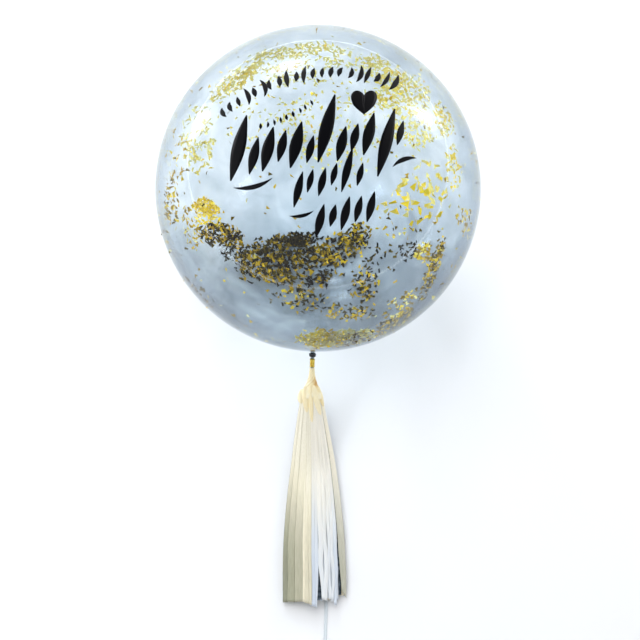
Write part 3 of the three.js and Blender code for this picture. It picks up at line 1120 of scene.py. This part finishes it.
@dataclass
class Neck:
    """What is on the neck: the black tie, wound three times and knotted, and the wrap of gold foil."""

    balloon: Balloon
    tie_offset: float = 11.5 * MM
    tie_length: float = 8 * MM
    tie_turns: float = 3.0
    cord_radius: float = 1.35 * MM
    band_offset: float = 23 * MM
    band_length: float = 15 * MM
    band_radius: float = 4.6 * MM
    folds: int = 9
    winding_steps: int = 90
    band_rows: int = 22
    band_around: int = 72
    band_wall: float = 0.35 * MM
    fold_depth: float = 0.6 * MM
    flare: float = 0.5 * MM
    dent_depth: float = 0.18 * MM
    dent_seed: int = 3

    def on_neck(self, x: float, y: float, offset: float) -> Vector:
        """Places a point given across the neck and along it, past the ball."""
        ball = self.balloon
        return ball.turn @ Vector((x, y, -ball.radius - offset)) + ball.centre

    def tube(self, solid: Solid, line: list[Vector], radius: float, around: int = 10) -> None:
        """Adds a round cord with closed ends.

        Args:
            solid: the shapes gathered so far.
            line: the points that it follows.
            radius: half its thickness.
            around: corners round its section.
        """
        vertices = []
        side = (line[1] - line[0]).orthogonal().normalized()
        for index, point in enumerate(line):
            ahead = (line[min(index + 1, len(line) - 1)] - line[max(index - 1, 0)]).normalized()
            side = (side - ahead * side.dot(ahead)).normalized()
            lift = ahead.cross(side)
            for corner in range(around):
                angle = 2 * math.pi * corner / around
                vertices.append(point + (side * math.cos(angle) + lift * math.sin(angle)) * radius)
        faces = ring_faces(len(line) - 1, around)
        faces.append(list(range(around))[::-1])
        faces.append([len(vertices) - around + corner for corner in range(around)])
        solid.add(vertices, faces)

    def tie(self) -> bpy.types.Object:
        """Builds the wound elastic with a small knot towards the camera."""
        solid = Solid()
        inner = self.balloon.neck_radius + self.cord_radius * 1.1
        line = []
        for step in range(self.winding_steps + 1):
            share = step / self.winding_steps
            angle = 2 * math.pi * self.tie_turns * share + 0.6
            radius = inner + self.cord_radius * (0.8 - 0.9 * share)
            offset = self.tie_offset + self.cord_radius + share * (self.tie_length - 2.2 * self.cord_radius)
            line.append(self.on_neck(radius * math.cos(angle), radius * math.sin(angle), offset))
        self.tube(solid, line, self.cord_radius)
        knot = []
        for step in range(25):
            angle = 2 * math.pi * step / 16
            height = inner + self.cord_radius + 0.5 * MM * math.sin(angle * 2)
            offset = self.tie_offset + self.tie_length * 0.45 + 1.6 * MM * math.sin(angle)
            knot.append(self.on_neck(2.0 * MM * math.cos(angle), height, offset))
        self.tube(solid, knot, self.cord_radius * 0.8)
        for end in (-1, 1):
            middle = self.tie_offset + self.tie_length * 0.5
            tail = [self.on_neck(end * (1.0 + 3.0 * t) * MM, inner + (1.5 + 0.8 * t) * MM,
                                 middle + 5 * t * t * MM) for t in (0, 0.3, 0.6, 1.0)]
            self.tube(solid, tail, self.cord_radius * 0.6)
        piece = solid.piece("elastic_tie", WoundElastic().material())
        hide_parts("neck_tie")
        return piece

    def band(self) -> bpy.types.Object:
        """Builds the crushed foil wrap round the neck."""
        rows, around = self.band_rows, self.band_around
        vertices, faces = [], []
        dice = random.Random(self.dent_seed)
        crush = [dice.uniform(-1, 1) for _ in range(self.folds * 2)]
        for wall in (0.0, self.band_wall):
            for row in range(rows):
                share = row / (rows - 1)
                for corner in range(around):
                    turn = corner / around
                    angle = 2 * math.pi * turn
                    fold = abs(math.sin(self.folds * (angle / 2 + share * 0.9)))
                    dent = crush[int(turn * self.folds + share * 6) % len(crush)] * self.dent_depth
                    radius = self.band_radius - self.fold_depth * (1 - fold) + dent - wall
                    radius += self.flare * (2 * share - 1) ** 4
                    vertices.append(self.on_neck(radius * math.cos(angle), radius * math.sin(angle),
                                                 self.band_offset + share * self.band_length))
        size = rows * around
        for row in range(rows - 1):
            for corner in range(around):
                a, b = row * around + corner, row * around + (corner + 1) % around
                faces.append([a, a + around, b + around, b])
                faces.append([size + a, size + b, size + b + around, size + a + around])
        for row, order in ((0, 1), (rows - 1, -1)):
            for corner in range(around):
                a, b = row * around + corner, row * around + (corner + 1) % around
                faces.append([a, b, size + b, size + a][::order])
        # The light and the dark gold are painted highlight and painted shade over the facets.
        foil = CrinkledFoil("crushed_gold_foil", "#fff07a", "#b5871c")
        piece = make_piece("foil_wrap", vertices, faces, foil.material())
        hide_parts("gold_band")
        return piece


@dataclass(frozen=True)
class Strip:
    """One paper strip of the fringe: where it lies in the bundle and how it is cut.

    Sides run from -1 to 1 across the bundle and levels from 0 on the floor to 1 on top. Cuts are in
    millimetres past the drape's end, at the strip's left and right edge. Shift moves the two edges aside
    towards the cut end.
    """

    left: float
    right: float
    level: float
    # Tone at the head and at the cut end; the darker end paints shade.
    tones: tuple = (0.7, 0.5)
    cut: tuple = (0.0, 0.0)
    tilt: float = 0.0
    crown: float = 1.2
    wave: float = 0.35
    start: float = 50.0
    shift: tuple = (0.0, 0.0)


@dataclass(frozen=True)
class Lobe:
    """One crumpled fold at the head: millimetres along the drape, its side as a strip has it, and sizes."""

    distance: float
    side: float
    length: float
    width: float
    height: float
    tone: float
    lean: float = 0.0
    phase: float = 0.0


@dataclass
class Tassel:
    """The tassel: a twisted stem that opens into stacked sheets of tissue and foil, cut into strips."""

    drape: Drape
    stem_length: float = 49 * MM
    stem_radius: float = 5.2 * MM
    head_half_width: float = 19.5 * MM
    head_thickness: float = 18 * MM
    half_width: float = 59 * MM
    thickness: float = 22 * MM
    swell: float = 1.15
    edge_thinning: float = 0.5
    paper: float = 0.22 * MM
    top_from: float = 0.835
    top_level: float = 0.93
    floor_gap: float = 1.2 * MM
    rows: int = 70
    columns: int = 7
    stem_rows: int = 64
    stem_around: int = 144
    stem_folds: int = 7
    stem_twist: float = 0.8
    cap_lap: float = 9 * MM
    cap_scallop: float = 2.6 * MM
    lobes: tuple = (
        Lobe(56, -0.9, 28, 17, 6.0, 0.82, lean=-0.04),
        Lobe(60, -0.5, 52, 14, 3.4, 0.76, lean=-0.14, phase=1.1),
        Lobe(68, -0.06, 74, 9, 2.8, 0.74, lean=-0.06, phase=2.3),
        Lobe(62, 0.4, 60, 13, 3.2, 0.86, lean=-0.2, phase=0.4),
        Lobe(56, 0.8, 40, 9, 3.2, 0.7, lean=-0.12, phase=1.9),
    )
    lobe_rows: int = 24
    lobe_around: int = 40
    strip_overlap: float = 0.01
    seed: int = 11

    def opening(self, distance: float) -> float:
        """How far the bundle has opened at a distance along the drape, from 0 to 1."""
        share = (distance - self.stem_length) / (self.drape.length - self.stem_length)
        return math.sin(min(max(share, 0.0) * self.swell, 1.0) * math.pi / 2)

    def point(self, distance: float, side: float, level: float, lift: float = 0.0) -> Vector:
        """Finds a point of the bundle.

        Args:
            distance: how far along the drape it is.
            side: -1 at the left edge to 1 at the right.
            level: 0 on the underside to 1 on top.
            lift: how much higher it is, in metres.

        Returns:
            The point.
        """
        open_share = self.opening(distance)
        width = self.head_half_width + (self.half_width - self.head_half_width) * open_share
        thick = self.head_thickness + (self.thickness - self.head_thickness) * min(open_share * 2, 1.0)
        crown = 1 - self.edge_thinning * side * side
        centre, up = self.drape.place(distance)
        return centre + ACROSS * (width * side) + up * (level * thick * crown - thick / 2 + lift)

    def add_strip(self, sheet: Solid, strip: Strip, dice: random.Random) -> None:
        """Adds one strip, a thin curved ribbon of paper that is closed all round.

        Args:
            sheet: the strips gathered so far.
            strip: where it lies.
            dice: the source of chance.
        """
        phase, phase_two = dice.uniform(0, 6.28), dice.uniform(0, 6.28)
        length_one, length_two = dice.uniform(0.014, 0.022), dice.uniform(0.02, 0.04)
        start = strip.start * MM
        upper, lower, tones = [], [], []
        for row in range(self.rows):
            share = row / (self.rows - 1)
            free = min(share * 2.2, 1.0)
            loose = ease(share * 1.6 - 0.1)
            level = strip.level
            if level > self.top_from:
                level = self.top_level + (level - self.top_level) * (0.2 + 0.8 * loose)
            for column in range(self.columns):
                across = column / (self.columns - 1)
                cut = (strip.cut[0] + (strip.cut[1] - strip.cut[0]) * across) * MM
                distance = start + (self.drape.length + cut - start) * share
                aside = strip.shift[0] + (strip.shift[1] - strip.shift[0]) * across
                side = strip.left + (strip.right - strip.left) * across + aside * share ** 7
                sway = strip.wave * MM * ease(share * 2 - 0.9) * math.sin(distance / length_one + phase)
                flutter = strip.wave * MM * free / 2
                flutter *= math.sin(distance / length_two + phase_two + across * 1.5)
                bulge = strip.crown * MM * (1 - (2 * across - 1) ** 2) * (0.15 + 0.85 * loose)
                lift = bulge + flutter + strip.tilt * MM * (across - 0.5)
                place = self.point(distance, side, level, lift) + ACROSS * sway
                place.z = max(place.z, self.floor_gap)
                upper.append(place + UP * self.paper / 2)
                lower.append(place - UP * self.paper / 2)
                # Painted shade: the tone falls from the head towards the cut end.
                tones.append(strip.tones[0] + (strip.tones[1] - strip.tones[0]) * ease(share * 1.4 - 0.25))
        sheet.add(upper + lower, [face[::-1] for face in sheet_faces(self.rows, self.columns)])
        sheet.tones[-2 * len(tones):] = tones + tones

    def sheet(self, name: str, node: str, slot: str, paper: TissuePaper | CrinkledFoil, strips: list[Strip],
              seed: int) -> bpy.types.Object:
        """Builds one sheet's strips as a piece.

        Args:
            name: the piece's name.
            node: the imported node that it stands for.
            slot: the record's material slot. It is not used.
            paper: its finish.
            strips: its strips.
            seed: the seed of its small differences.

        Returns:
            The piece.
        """
        dice = random.Random(seed)
        solid = Solid()
        for strip in strips:
            self.add_strip(solid, strip, dice)
        piece = solid.piece(name, paper.material())
        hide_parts(node)
        return piece

    def even_strips(self, left: float, right: float, count: int, levels: tuple, tones: tuple, cuts: tuple,
                    dice: random.Random) -> list[Strip]:
        """Shares a width out among strips that lie a little over each other, in several layers.

        Args:
            left: the first strip's left side.
            right: the last strip's right side.
            count: strips in a layer.
            levels: the level of each layer.
            tones: lowest and highest tone.
            cuts: shortest and longest cut.
            dice: the source of chance.

        Returns:
            The strips, layer by layer.
        """
        strips = []
        width = (right - left) / count
        for level in levels:
            for index in range(count):
                shift = dice.uniform(-0.08, 0.08) * width
                tone = dice.uniform(*tones)
                cut = dice.uniform(*cuts)
                strips.append(Strip(max(left, left + index * width + shift - self.strip_overlap),
                                    min(right, left + (index + 1) * width + shift + self.strip_overlap),
                                    level + dice.uniform(-0.015, 0.015), (tone + 0.1, tone),
                                    (cut, cut + dice.uniform(-4, 4)), tilt=dice.uniform(-1.5, 1.5),
                                    start=50.5 + dice.uniform(0, 2)))
        return strips

    def silver(self, dice: random.Random) -> None:
        """Builds the foil strips: most lie on the floor, two show in the slits and one at the left edge.
        Their dark slate colour is painted dark reflection and shade, so that these show as dark lines.
        """
        # Dark slate tones: painted dark reflection and shade.
        foil = CrinkledFoil("metallised_silver_paper", "#7d8a97", "#27323b", 9 * MM, 0.42)
        strips = self.even_strips(-0.94, 0.27, 4, (0.1, 0.24), (0.3, 0.6), (-20, -8), dice)
        strips += self.even_strips(0.45, 0.94, 2, (0.1, 0.24), (0.3, 0.6), (-20, -12), dice)
        strips += [Strip(0.5, 0.84, 0.72, cut=(-12, -16), crown=0.3),
                   Strip(-0.04, 0.24, 0.83, cut=(-2, -6), crown=0.3),
                   Strip(-1.006, -0.9, 0.78, cut=(-4, -4), crown=0.1, wave=0.0)]
        self.sheet("silver_strips", "fringe_silver_sheet", "silver_foil_paper", foil, strips, 1)

    def ivory(self, dice: random.Random) -> None:
        """Builds the ivory strips, which show through the slits above them."""
        paper = TissuePaper("ivory_tissue_paper", ((0.0, "#c9bc98"), (0.6, "#ece3c8"), (1.0, "#fbf1d6")))
        strips = self.even_strips(-0.97, 0.5, 6, (0.36, 0.46, 0.56), (0.4, 0.8), (-22, -8), dice)
        strips += self.even_strips(0.5, 0.92, 2, (0.36, 0.46, 0.56), (0.4, 0.8), (-24, -14), dice)
        self.sheet("ivory_strips", "fringe_ivory_sheet", "ivory_tissue", paper, strips, 2)

    def champagne(self, dice: random.Random) -> None:
        """Builds the champagne strips: cream at the head, darkening to olive beige towards the left edge
        below as painted shade.
        """
        stops = ((0.0, "#787965"), (0.3, "#999880"), (0.6, "#c3bda6"), (0.8, "#e0d8be"), (1.0, "#f4eedb"))
        paper = TissuePaper("champagne_satin_tissue", stops, sheen=0.25, roughness=0.55)
        strips = self.even_strips(-0.98, -0.14, 4, (0.68, 0.76), (0.4, 0.6), (-8, -4), dice)
        strips += [
            Strip(-1.0, -0.84, 0.84, (0.92, 0.12), (-2, -2), tilt=0.6, crown=0.5),
            Strip(-0.86, -0.62, 0.88, (0.96, 0.3), (-3, -1), tilt=0.8, crown=0.6),
            Strip(-0.64, -0.33, 0.92, (0.96, 0.42), (-2, -1), tilt=1.0, crown=0.6),
            Strip(-0.37, -0.29, 0.975, (0.86, 0.8), (-1, 0), crown=0.8, wave=0.4),
            Strip(-0.32, -0.17, 0.94, (0.98, 0.72), (1, 3), tilt=-1.2, crown=0.6),
            Strip(-0.19, -0.09, 0.95, (0.96, 0.66), (3, 6), crown=0.4, shift=(0.02, 0.0)),
        ]
        self.sheet("champagne_strips", "fringe_champagne_sheet", "champagne_paper", paper, strips, 3)

    def white(self, dice: random.Random) -> None:
        """Builds the white strips: creamy at the head, cool white below, wavy at the right; their lowest
        tones, grey blue, are painted shade on the under-layers and cut ends.
        """
        stops = ((0.0, "#9facbd"), (0.3, "#c0cad8"), (0.55, "#d6dbe0"), (0.8, "#e6e3da"), (1.0, "#f4eedf"))
        paper = TissuePaper("white_tissue_paper", stops)
        strips = self.even_strips(-0.10, 0.74, 5, (0.68, 0.76), (0.3, 0.5), (-10, -4), dice)
        strips += [
            Strip(-0.12, 0.02, 0.90, (1.0, 0.34), (7, 8), tilt=0.6, crown=0.5),
            Strip(0.00, 0.14, 0.89, (0.98, 0.42), (8, 10), tilt=0.6, crown=0.5, shift=(0.0, -0.07)),
            Strip(0.12, 0.30, 0.93, (1.0, 0.6), (-6, -5), wave=1.3, shift=(0.09, 0.02)),
            Strip(0.29, 0.43, 0.96, (0.96, 0.62), (-4, -3), wave=1.6),
            Strip(0.42, 0.53, 0.95, (0.98, 0.56), (-5, -6), wave=1.5),
            Strip(0.52, 0.64, 0.92, (0.92, 0.58), (-2, -1), wave=1.4, shift=(0.0, -0.03)),
            Strip(0.62, 0.75, 0.88, (0.95, 0.4), (5, 4), tilt=-1.2, wave=0.9, shift=(0.0, -0.05)),
        ]
        self.sheet("white_strips", "fringe_white_sheet", "white_tissue", paper, strips, 4)

    def beige(self) -> None:
        """Builds the beige strips at the right edge, cut off at a slant."""
        stops = ((0.0, "#83847a"), (0.4, "#a9a896"), (0.7, "#cdcaba"), (1.0, "#f4ecd6"))
        paper = TissuePaper("beige_satin_tissue", stops, sheen=0.25, roughness=0.55)
        self.sheet("beige_strips", "fringe_beige_sheet", "beige_paper", paper, [
            Strip(0.76, 0.97, 0.70, (0.5, 0.2), (-26, -16), tilt=-0.5, shift=(0.1, 0.0)),
            Strip(0.76, 1.0, 0.80, (0.95, 0.45), (-24, -10), tilt=-1.2, shift=(0.1, 0.0)),
        ], 5)

    def fringe(self) -> None:
        """Builds the five sheets from the floor up."""
        dice = random.Random(self.seed)
        # The strips that lie under others take darker tones, which paint shade.
        self.silver(dice)
        self.ivory(dice)
        self.champagne(dice)
        self.white(dice)
        self.beige()

    def stem(self) -> bpy.types.Object:
        """Builds the twisted stem: crisp folds that turn round it, open and lap over the head. Its tones
        carry painted shade: tan on its right side, darker in the creases and towards the band.
        """
        rows, around = self.stem_rows, self.stem_around
        vertices, tones = [], []
        for row in range(rows):
            share = row / (rows - 1)
            for corner in range(around):
                angle = 2 * math.pi * corner / around
                scallop = self.cap_scallop * (math.sin(3 * angle + 0.6) + 0.6 * math.sin(7 * angle + 2.0))
                distance = share * (self.stem_length + self.cap_lap + scallop * share ** 6)
                centre, up = self.drape.place(distance)
                past = self.opening(distance)
                open_share = min(distance / self.stem_length, 1.0) ** 2.1
                head = self.head_half_width + (self.half_width - self.head_half_width) * past
                width = self.stem_radius + (head * 1.04 - self.stem_radius) * open_share
                thick = self.stem_radius + (self.head_thickness / 2 * 1.1 - self.stem_radius) * open_share
                turned = angle - self.stem_twist * 2 * math.pi * (1 - (1 - share) ** 1.5)
                fold = abs(math.sin(self.stem_folds * turned / 2 + 0.7 * math.sin(turned)))
                crease = 1 - (0.3 - 0.24 * share) * (1 - fold) ** 1.5
                vertices.append(centre + ACROSS * (width * crease * math.cos(angle))
                                + up * (thick * crease * math.sin(angle)))
                # Painted shade: tan down the right side, darker in the creases between folds and towards the
                # band.
                right = max(0.0, math.cos(angle - 0.5)) ** 2
                tan = right * math.exp(-((share - 0.5) / 0.2) ** 2)
                tones.append(0.95 - 0.7 * tan - 0.3 * (1 - fold) * (1 - share) - 0.12 * (1 - share))
        faces = ring_faces(rows - 1, around)
        faces.append(list(range(around))[::-1])
        vertices.append(self.drape.place(self.stem_length - 6 * MM)[0])
        tones.append(0.6)
        for corner in range(around):
            start = (rows - 1) * around
            faces.append([start + corner, start + (corner + 1) % around, len(vertices) - 1])
        solid = Solid(vertices, faces, tones)
        for lobe in self.lobes:
            self.add_lobe(solid, lobe)
        stops = ((0.0, "#c08a3c"), (0.3, "#dcb878"), (0.6, "#f3dfac"), (0.9, "#fcf0ca"), (1.0, "#fdf5dc"))
        paper = TissuePaper("twisted_champagne_paper", stops, roughness=0.5, sheen=0.25)
        piece = solid.piece("twisted_stem", paper.material())
        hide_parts("tassel_stem")
        return piece

    def add_lobe(self, solid: Solid, lobe: Lobe) -> None:
        """Adds one crumpled fold of the head, a flat lobe with sharp creases along it.

        Args:
            solid: the shapes gathered so far.
            lobe: its place and sizes.
        """
        rows, around = self.lobe_rows, self.lobe_around
        vertices = []
        for row in range(rows + 1):
            polar = math.pi * row / rows
            for corner in range(around):
                angle = 2 * math.pi * corner / around
                crease = 0.82 + 0.18 * abs(math.sin(2.5 * angle + 1.6 * polar + lobe.phase))
                reach = math.sin(polar) * crease
                distance = (lobe.distance - lobe.length / 2 * math.cos(polar)) * MM
                lean = lobe.lean * math.cos(polar)
                base = self.point(distance, lobe.side + lean, 1.0)
                up = self.drape.place(distance)[1]
                vertices.append(base + ACROSS * (lobe.width / 2 * reach * math.cos(angle) * MM)
                                + up * (lobe.height * (reach * math.sin(angle) - 0.35) * MM))
        solid.add(vertices, ring_faces(rows, around), lobe.tone)


@dataclass(frozen=True)
class Glint:
    """A lamp that is placed by where its glint is seen on the ball, in millimetres from the ball's centre.

    Each layer is a diffuser: its size as a share of the lamp's, and its radiance, so that the glint fades.
    An inner glint shows only in the far wall, on the other side of the ball's centre.
    """

    name: str
    place: tuple
    size: tuple
    layers: tuple = ((0.5, 16.0), (0.9, 8.0), (1.4, 4.0), (2.2, 1.8))
    shape: str = "ELLIPSE"
    colour: str = "#ffffff"
    inner: bool = False


@dataclass
class Studio:
    """The pale floor, the room's even light and the lamps, each a soft glint on the film."""

    view: Viewpoint
    floor_radius: float = 3.0
    lamp_distance: float = 3.0
    world_strength: float = 0.95
    tube_count: int = 16
    tube_circle: float = 3.2
    tube_height: float = 80 * MM
    tube_radiance: float = 3.2
    softbox_place: tuple = (-0.3, 0.2, 1.0)
    softbox_side: float = 3.0
    softbox_radiance: float = 2.3
    floor_corners: int = 128
    floor_drop: float = 0.2 * MM
    glints: tuple = (
        Glint("lamp_back", (-52, 210), (0.62, 0.62)),
        Glint("lamp_left", (-208, 112), (0.5, 0.8)),
        Glint("lamp_right", (180, 124), (0.55, 0.9)),
        Glint("lamp_top", (-33, 181), (0.4, 0.3), ((0.5, 24.0), (1.0, 12.0), (1.8, 4.0)), inner=True),
        Glint("window_left", (-120, 6), (0.4, 0.5), ((1.0, 9.0), (1.6, 2.4)), "RECTANGLE", "#eef4ff"),
        Glint("window_right", (168, 32), (0.8, 1.1), ((0.7, 1.0), (1.0, 1.0)), "RECTANGLE", "#efe6ff"),
    )

    def lamp(self, name: str, direction: Vector, size: tuple, radiance: float, shape: str,
             colour: str) -> bpy.types.Object:
        """Adds one soft lamp that faces the ball.

        Args:
            name: the lamp's name.
            direction: from the ball to the lamp.
            size: its two sides in metres.
            radiance: how bright it looks, where 1 is the white of the floor.
            shape: the lamp's outline.
            colour: its colour.

        Returns:
            The lamp's object.
        """
        data = bpy.data.lights.new(name, "AREA")
        data.shape = shape
        data.size, data.size_y = size
        data.color = linear(colour)[:3]
        area = size[0] * size[1] * (math.pi / 4 if shape == "ELLIPSE" else 1)
        data.energy = radiance * math.pi * area
        light = bpy.data.objects.new(name, data)
        place = direction.normalized() * self.lamp_distance
        light.location = self.view.ball_centre + place
        light.rotation_euler = place.to_track_quat("Z", "Y").to_euler()
        bpy.context.scene.collection.objects.link(light)
        return light

    def tubes(self) -> None:
        """Adds a ring of low strip lamps, which the film mirrors as a thin bright circle."""
        length = 2 * self.tube_circle * math.tan(math.pi / self.tube_count)
        for index in range(self.tube_count):
            angle = 2 * math.pi * (index + 0.5) / self.tube_count
            outward = Vector((math.cos(angle), math.sin(angle), 0.0))
            tube = self.lamp(f"tube_{index}", outward, (length, self.tube_height), self.tube_radiance,
                             "RECTANGLE", "#ffffff")
            tube.location = outward * self.tube_circle + UP * self.tube_height * 0.7
            tube.visible_camera = False
            tube.visible_transmission = False
            tube.visible_diffuse = False

    def room(self) -> None:
        """Adds the even light round the part: pale walls and a darker ceiling."""
        world = bpy.data.worlds.new("studio")
        world.use_nodes = True
        tree = world.node_tree
        place = add_node(tree, "ShaderNodeTexCoord")
        height = add_node(tree, "ShaderNodeSeparateXYZ", links={0: place.outputs["Generated"]})
        share = add_node(tree, "ShaderNodeMath", {1: 0.5, 2: 0.5}, {0: height.outputs["Z"]},
                         operation="MULTIPLY_ADD")
        colour = add_node(tree, "ShaderNodeValToRGB", links={"Fac": share.outputs[0]},
                          stops=[(0.0, "#ffffff"), (0.5, "#fdfdfe"), (0.72, "#f4f5f6"), (0.9, "#96999c"),
                                 (1.0, "#8c8f92")])
        background = tree.nodes["Background"]
        tree.links.new(colour.outputs["Color"], background.inputs["Color"])
        background.inputs["Strength"].default_value = self.world_strength
        bpy.context.scene.world = world

    def make(self) -> None:
        """Adds the floor, the lamps and the room."""
        mesh = bpy.data.meshes.new("studio_floor")
        corners = [2 * math.pi * index / self.floor_corners for index in range(self.floor_corners)]
        rim = [(self.floor_radius * math.cos(a), self.floor_radius * math.sin(a), 0) for a in corners]
        mesh.from_pydata(rim, [], [list(range(len(rim)))])
        mesh.materials.append(PaleFloor().material())
        floor = bpy.data.objects.new("studio_floor", mesh)
        floor.location.z = -self.floor_drop
        bpy.context.scene.collection.objects.link(floor)
        for glint in self.glints:
            direction = self.view.lamp_direction(glint.place[0] * MM, glint.place[1] * MM)
            for layer, (share, radiance) in enumerate(glint.layers):
                size = (glint.size[0] * share, glint.size[1] * share)
                name = f"{glint.name}_{layer}"
                lamp = self.lamp(name, direction, size, radiance, glint.shape, glint.colour)
                lamp.visible_glossy = not glint.inner
        key = self.lamp("ceiling_softbox", Vector(self.softbox_place), (self.softbox_side, self.softbox_side),
                        self.softbox_radiance, "RECTANGLE", "#ffffff")
        key.visible_glossy = False
        self.tubes()
        self.room()
        bpy.context.scene.view_settings.view_transform = "Standard"


def main() -> None:
    """Builds the balloon, the neck, the tassel and the ribbon, then the studio round them."""
    logging.basicConfig(level=logging.INFO, format="%(name)s: %(message)s")
    _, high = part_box("balloon_envelope")
    centre = Vector((0.0, 0.0, high[2] - BALL_RADIUS))
    view = Viewpoint(ball_centre=centre)
    view.make()
    tie = CoilTie().make()
    Ribbon().make(tie)
    balloon = Balloon(view=view, centre=centre)
    balloon.film()
    balloon.confetti()
    balloon.lettering_place()
    neck = Neck(balloon)
    neck.tie()
    neck.band()
    neck_end = centre + balloon.neck * (balloon.radius + balloon.neck_length + FIT_GAP)
    tassel = Tassel(Drape(start=neck_end, leaving=balloon.neck))
    tassel.stem()
    tassel.fringe()
    Studio(view=view).make()


if __name__ == "__main__":
    main()
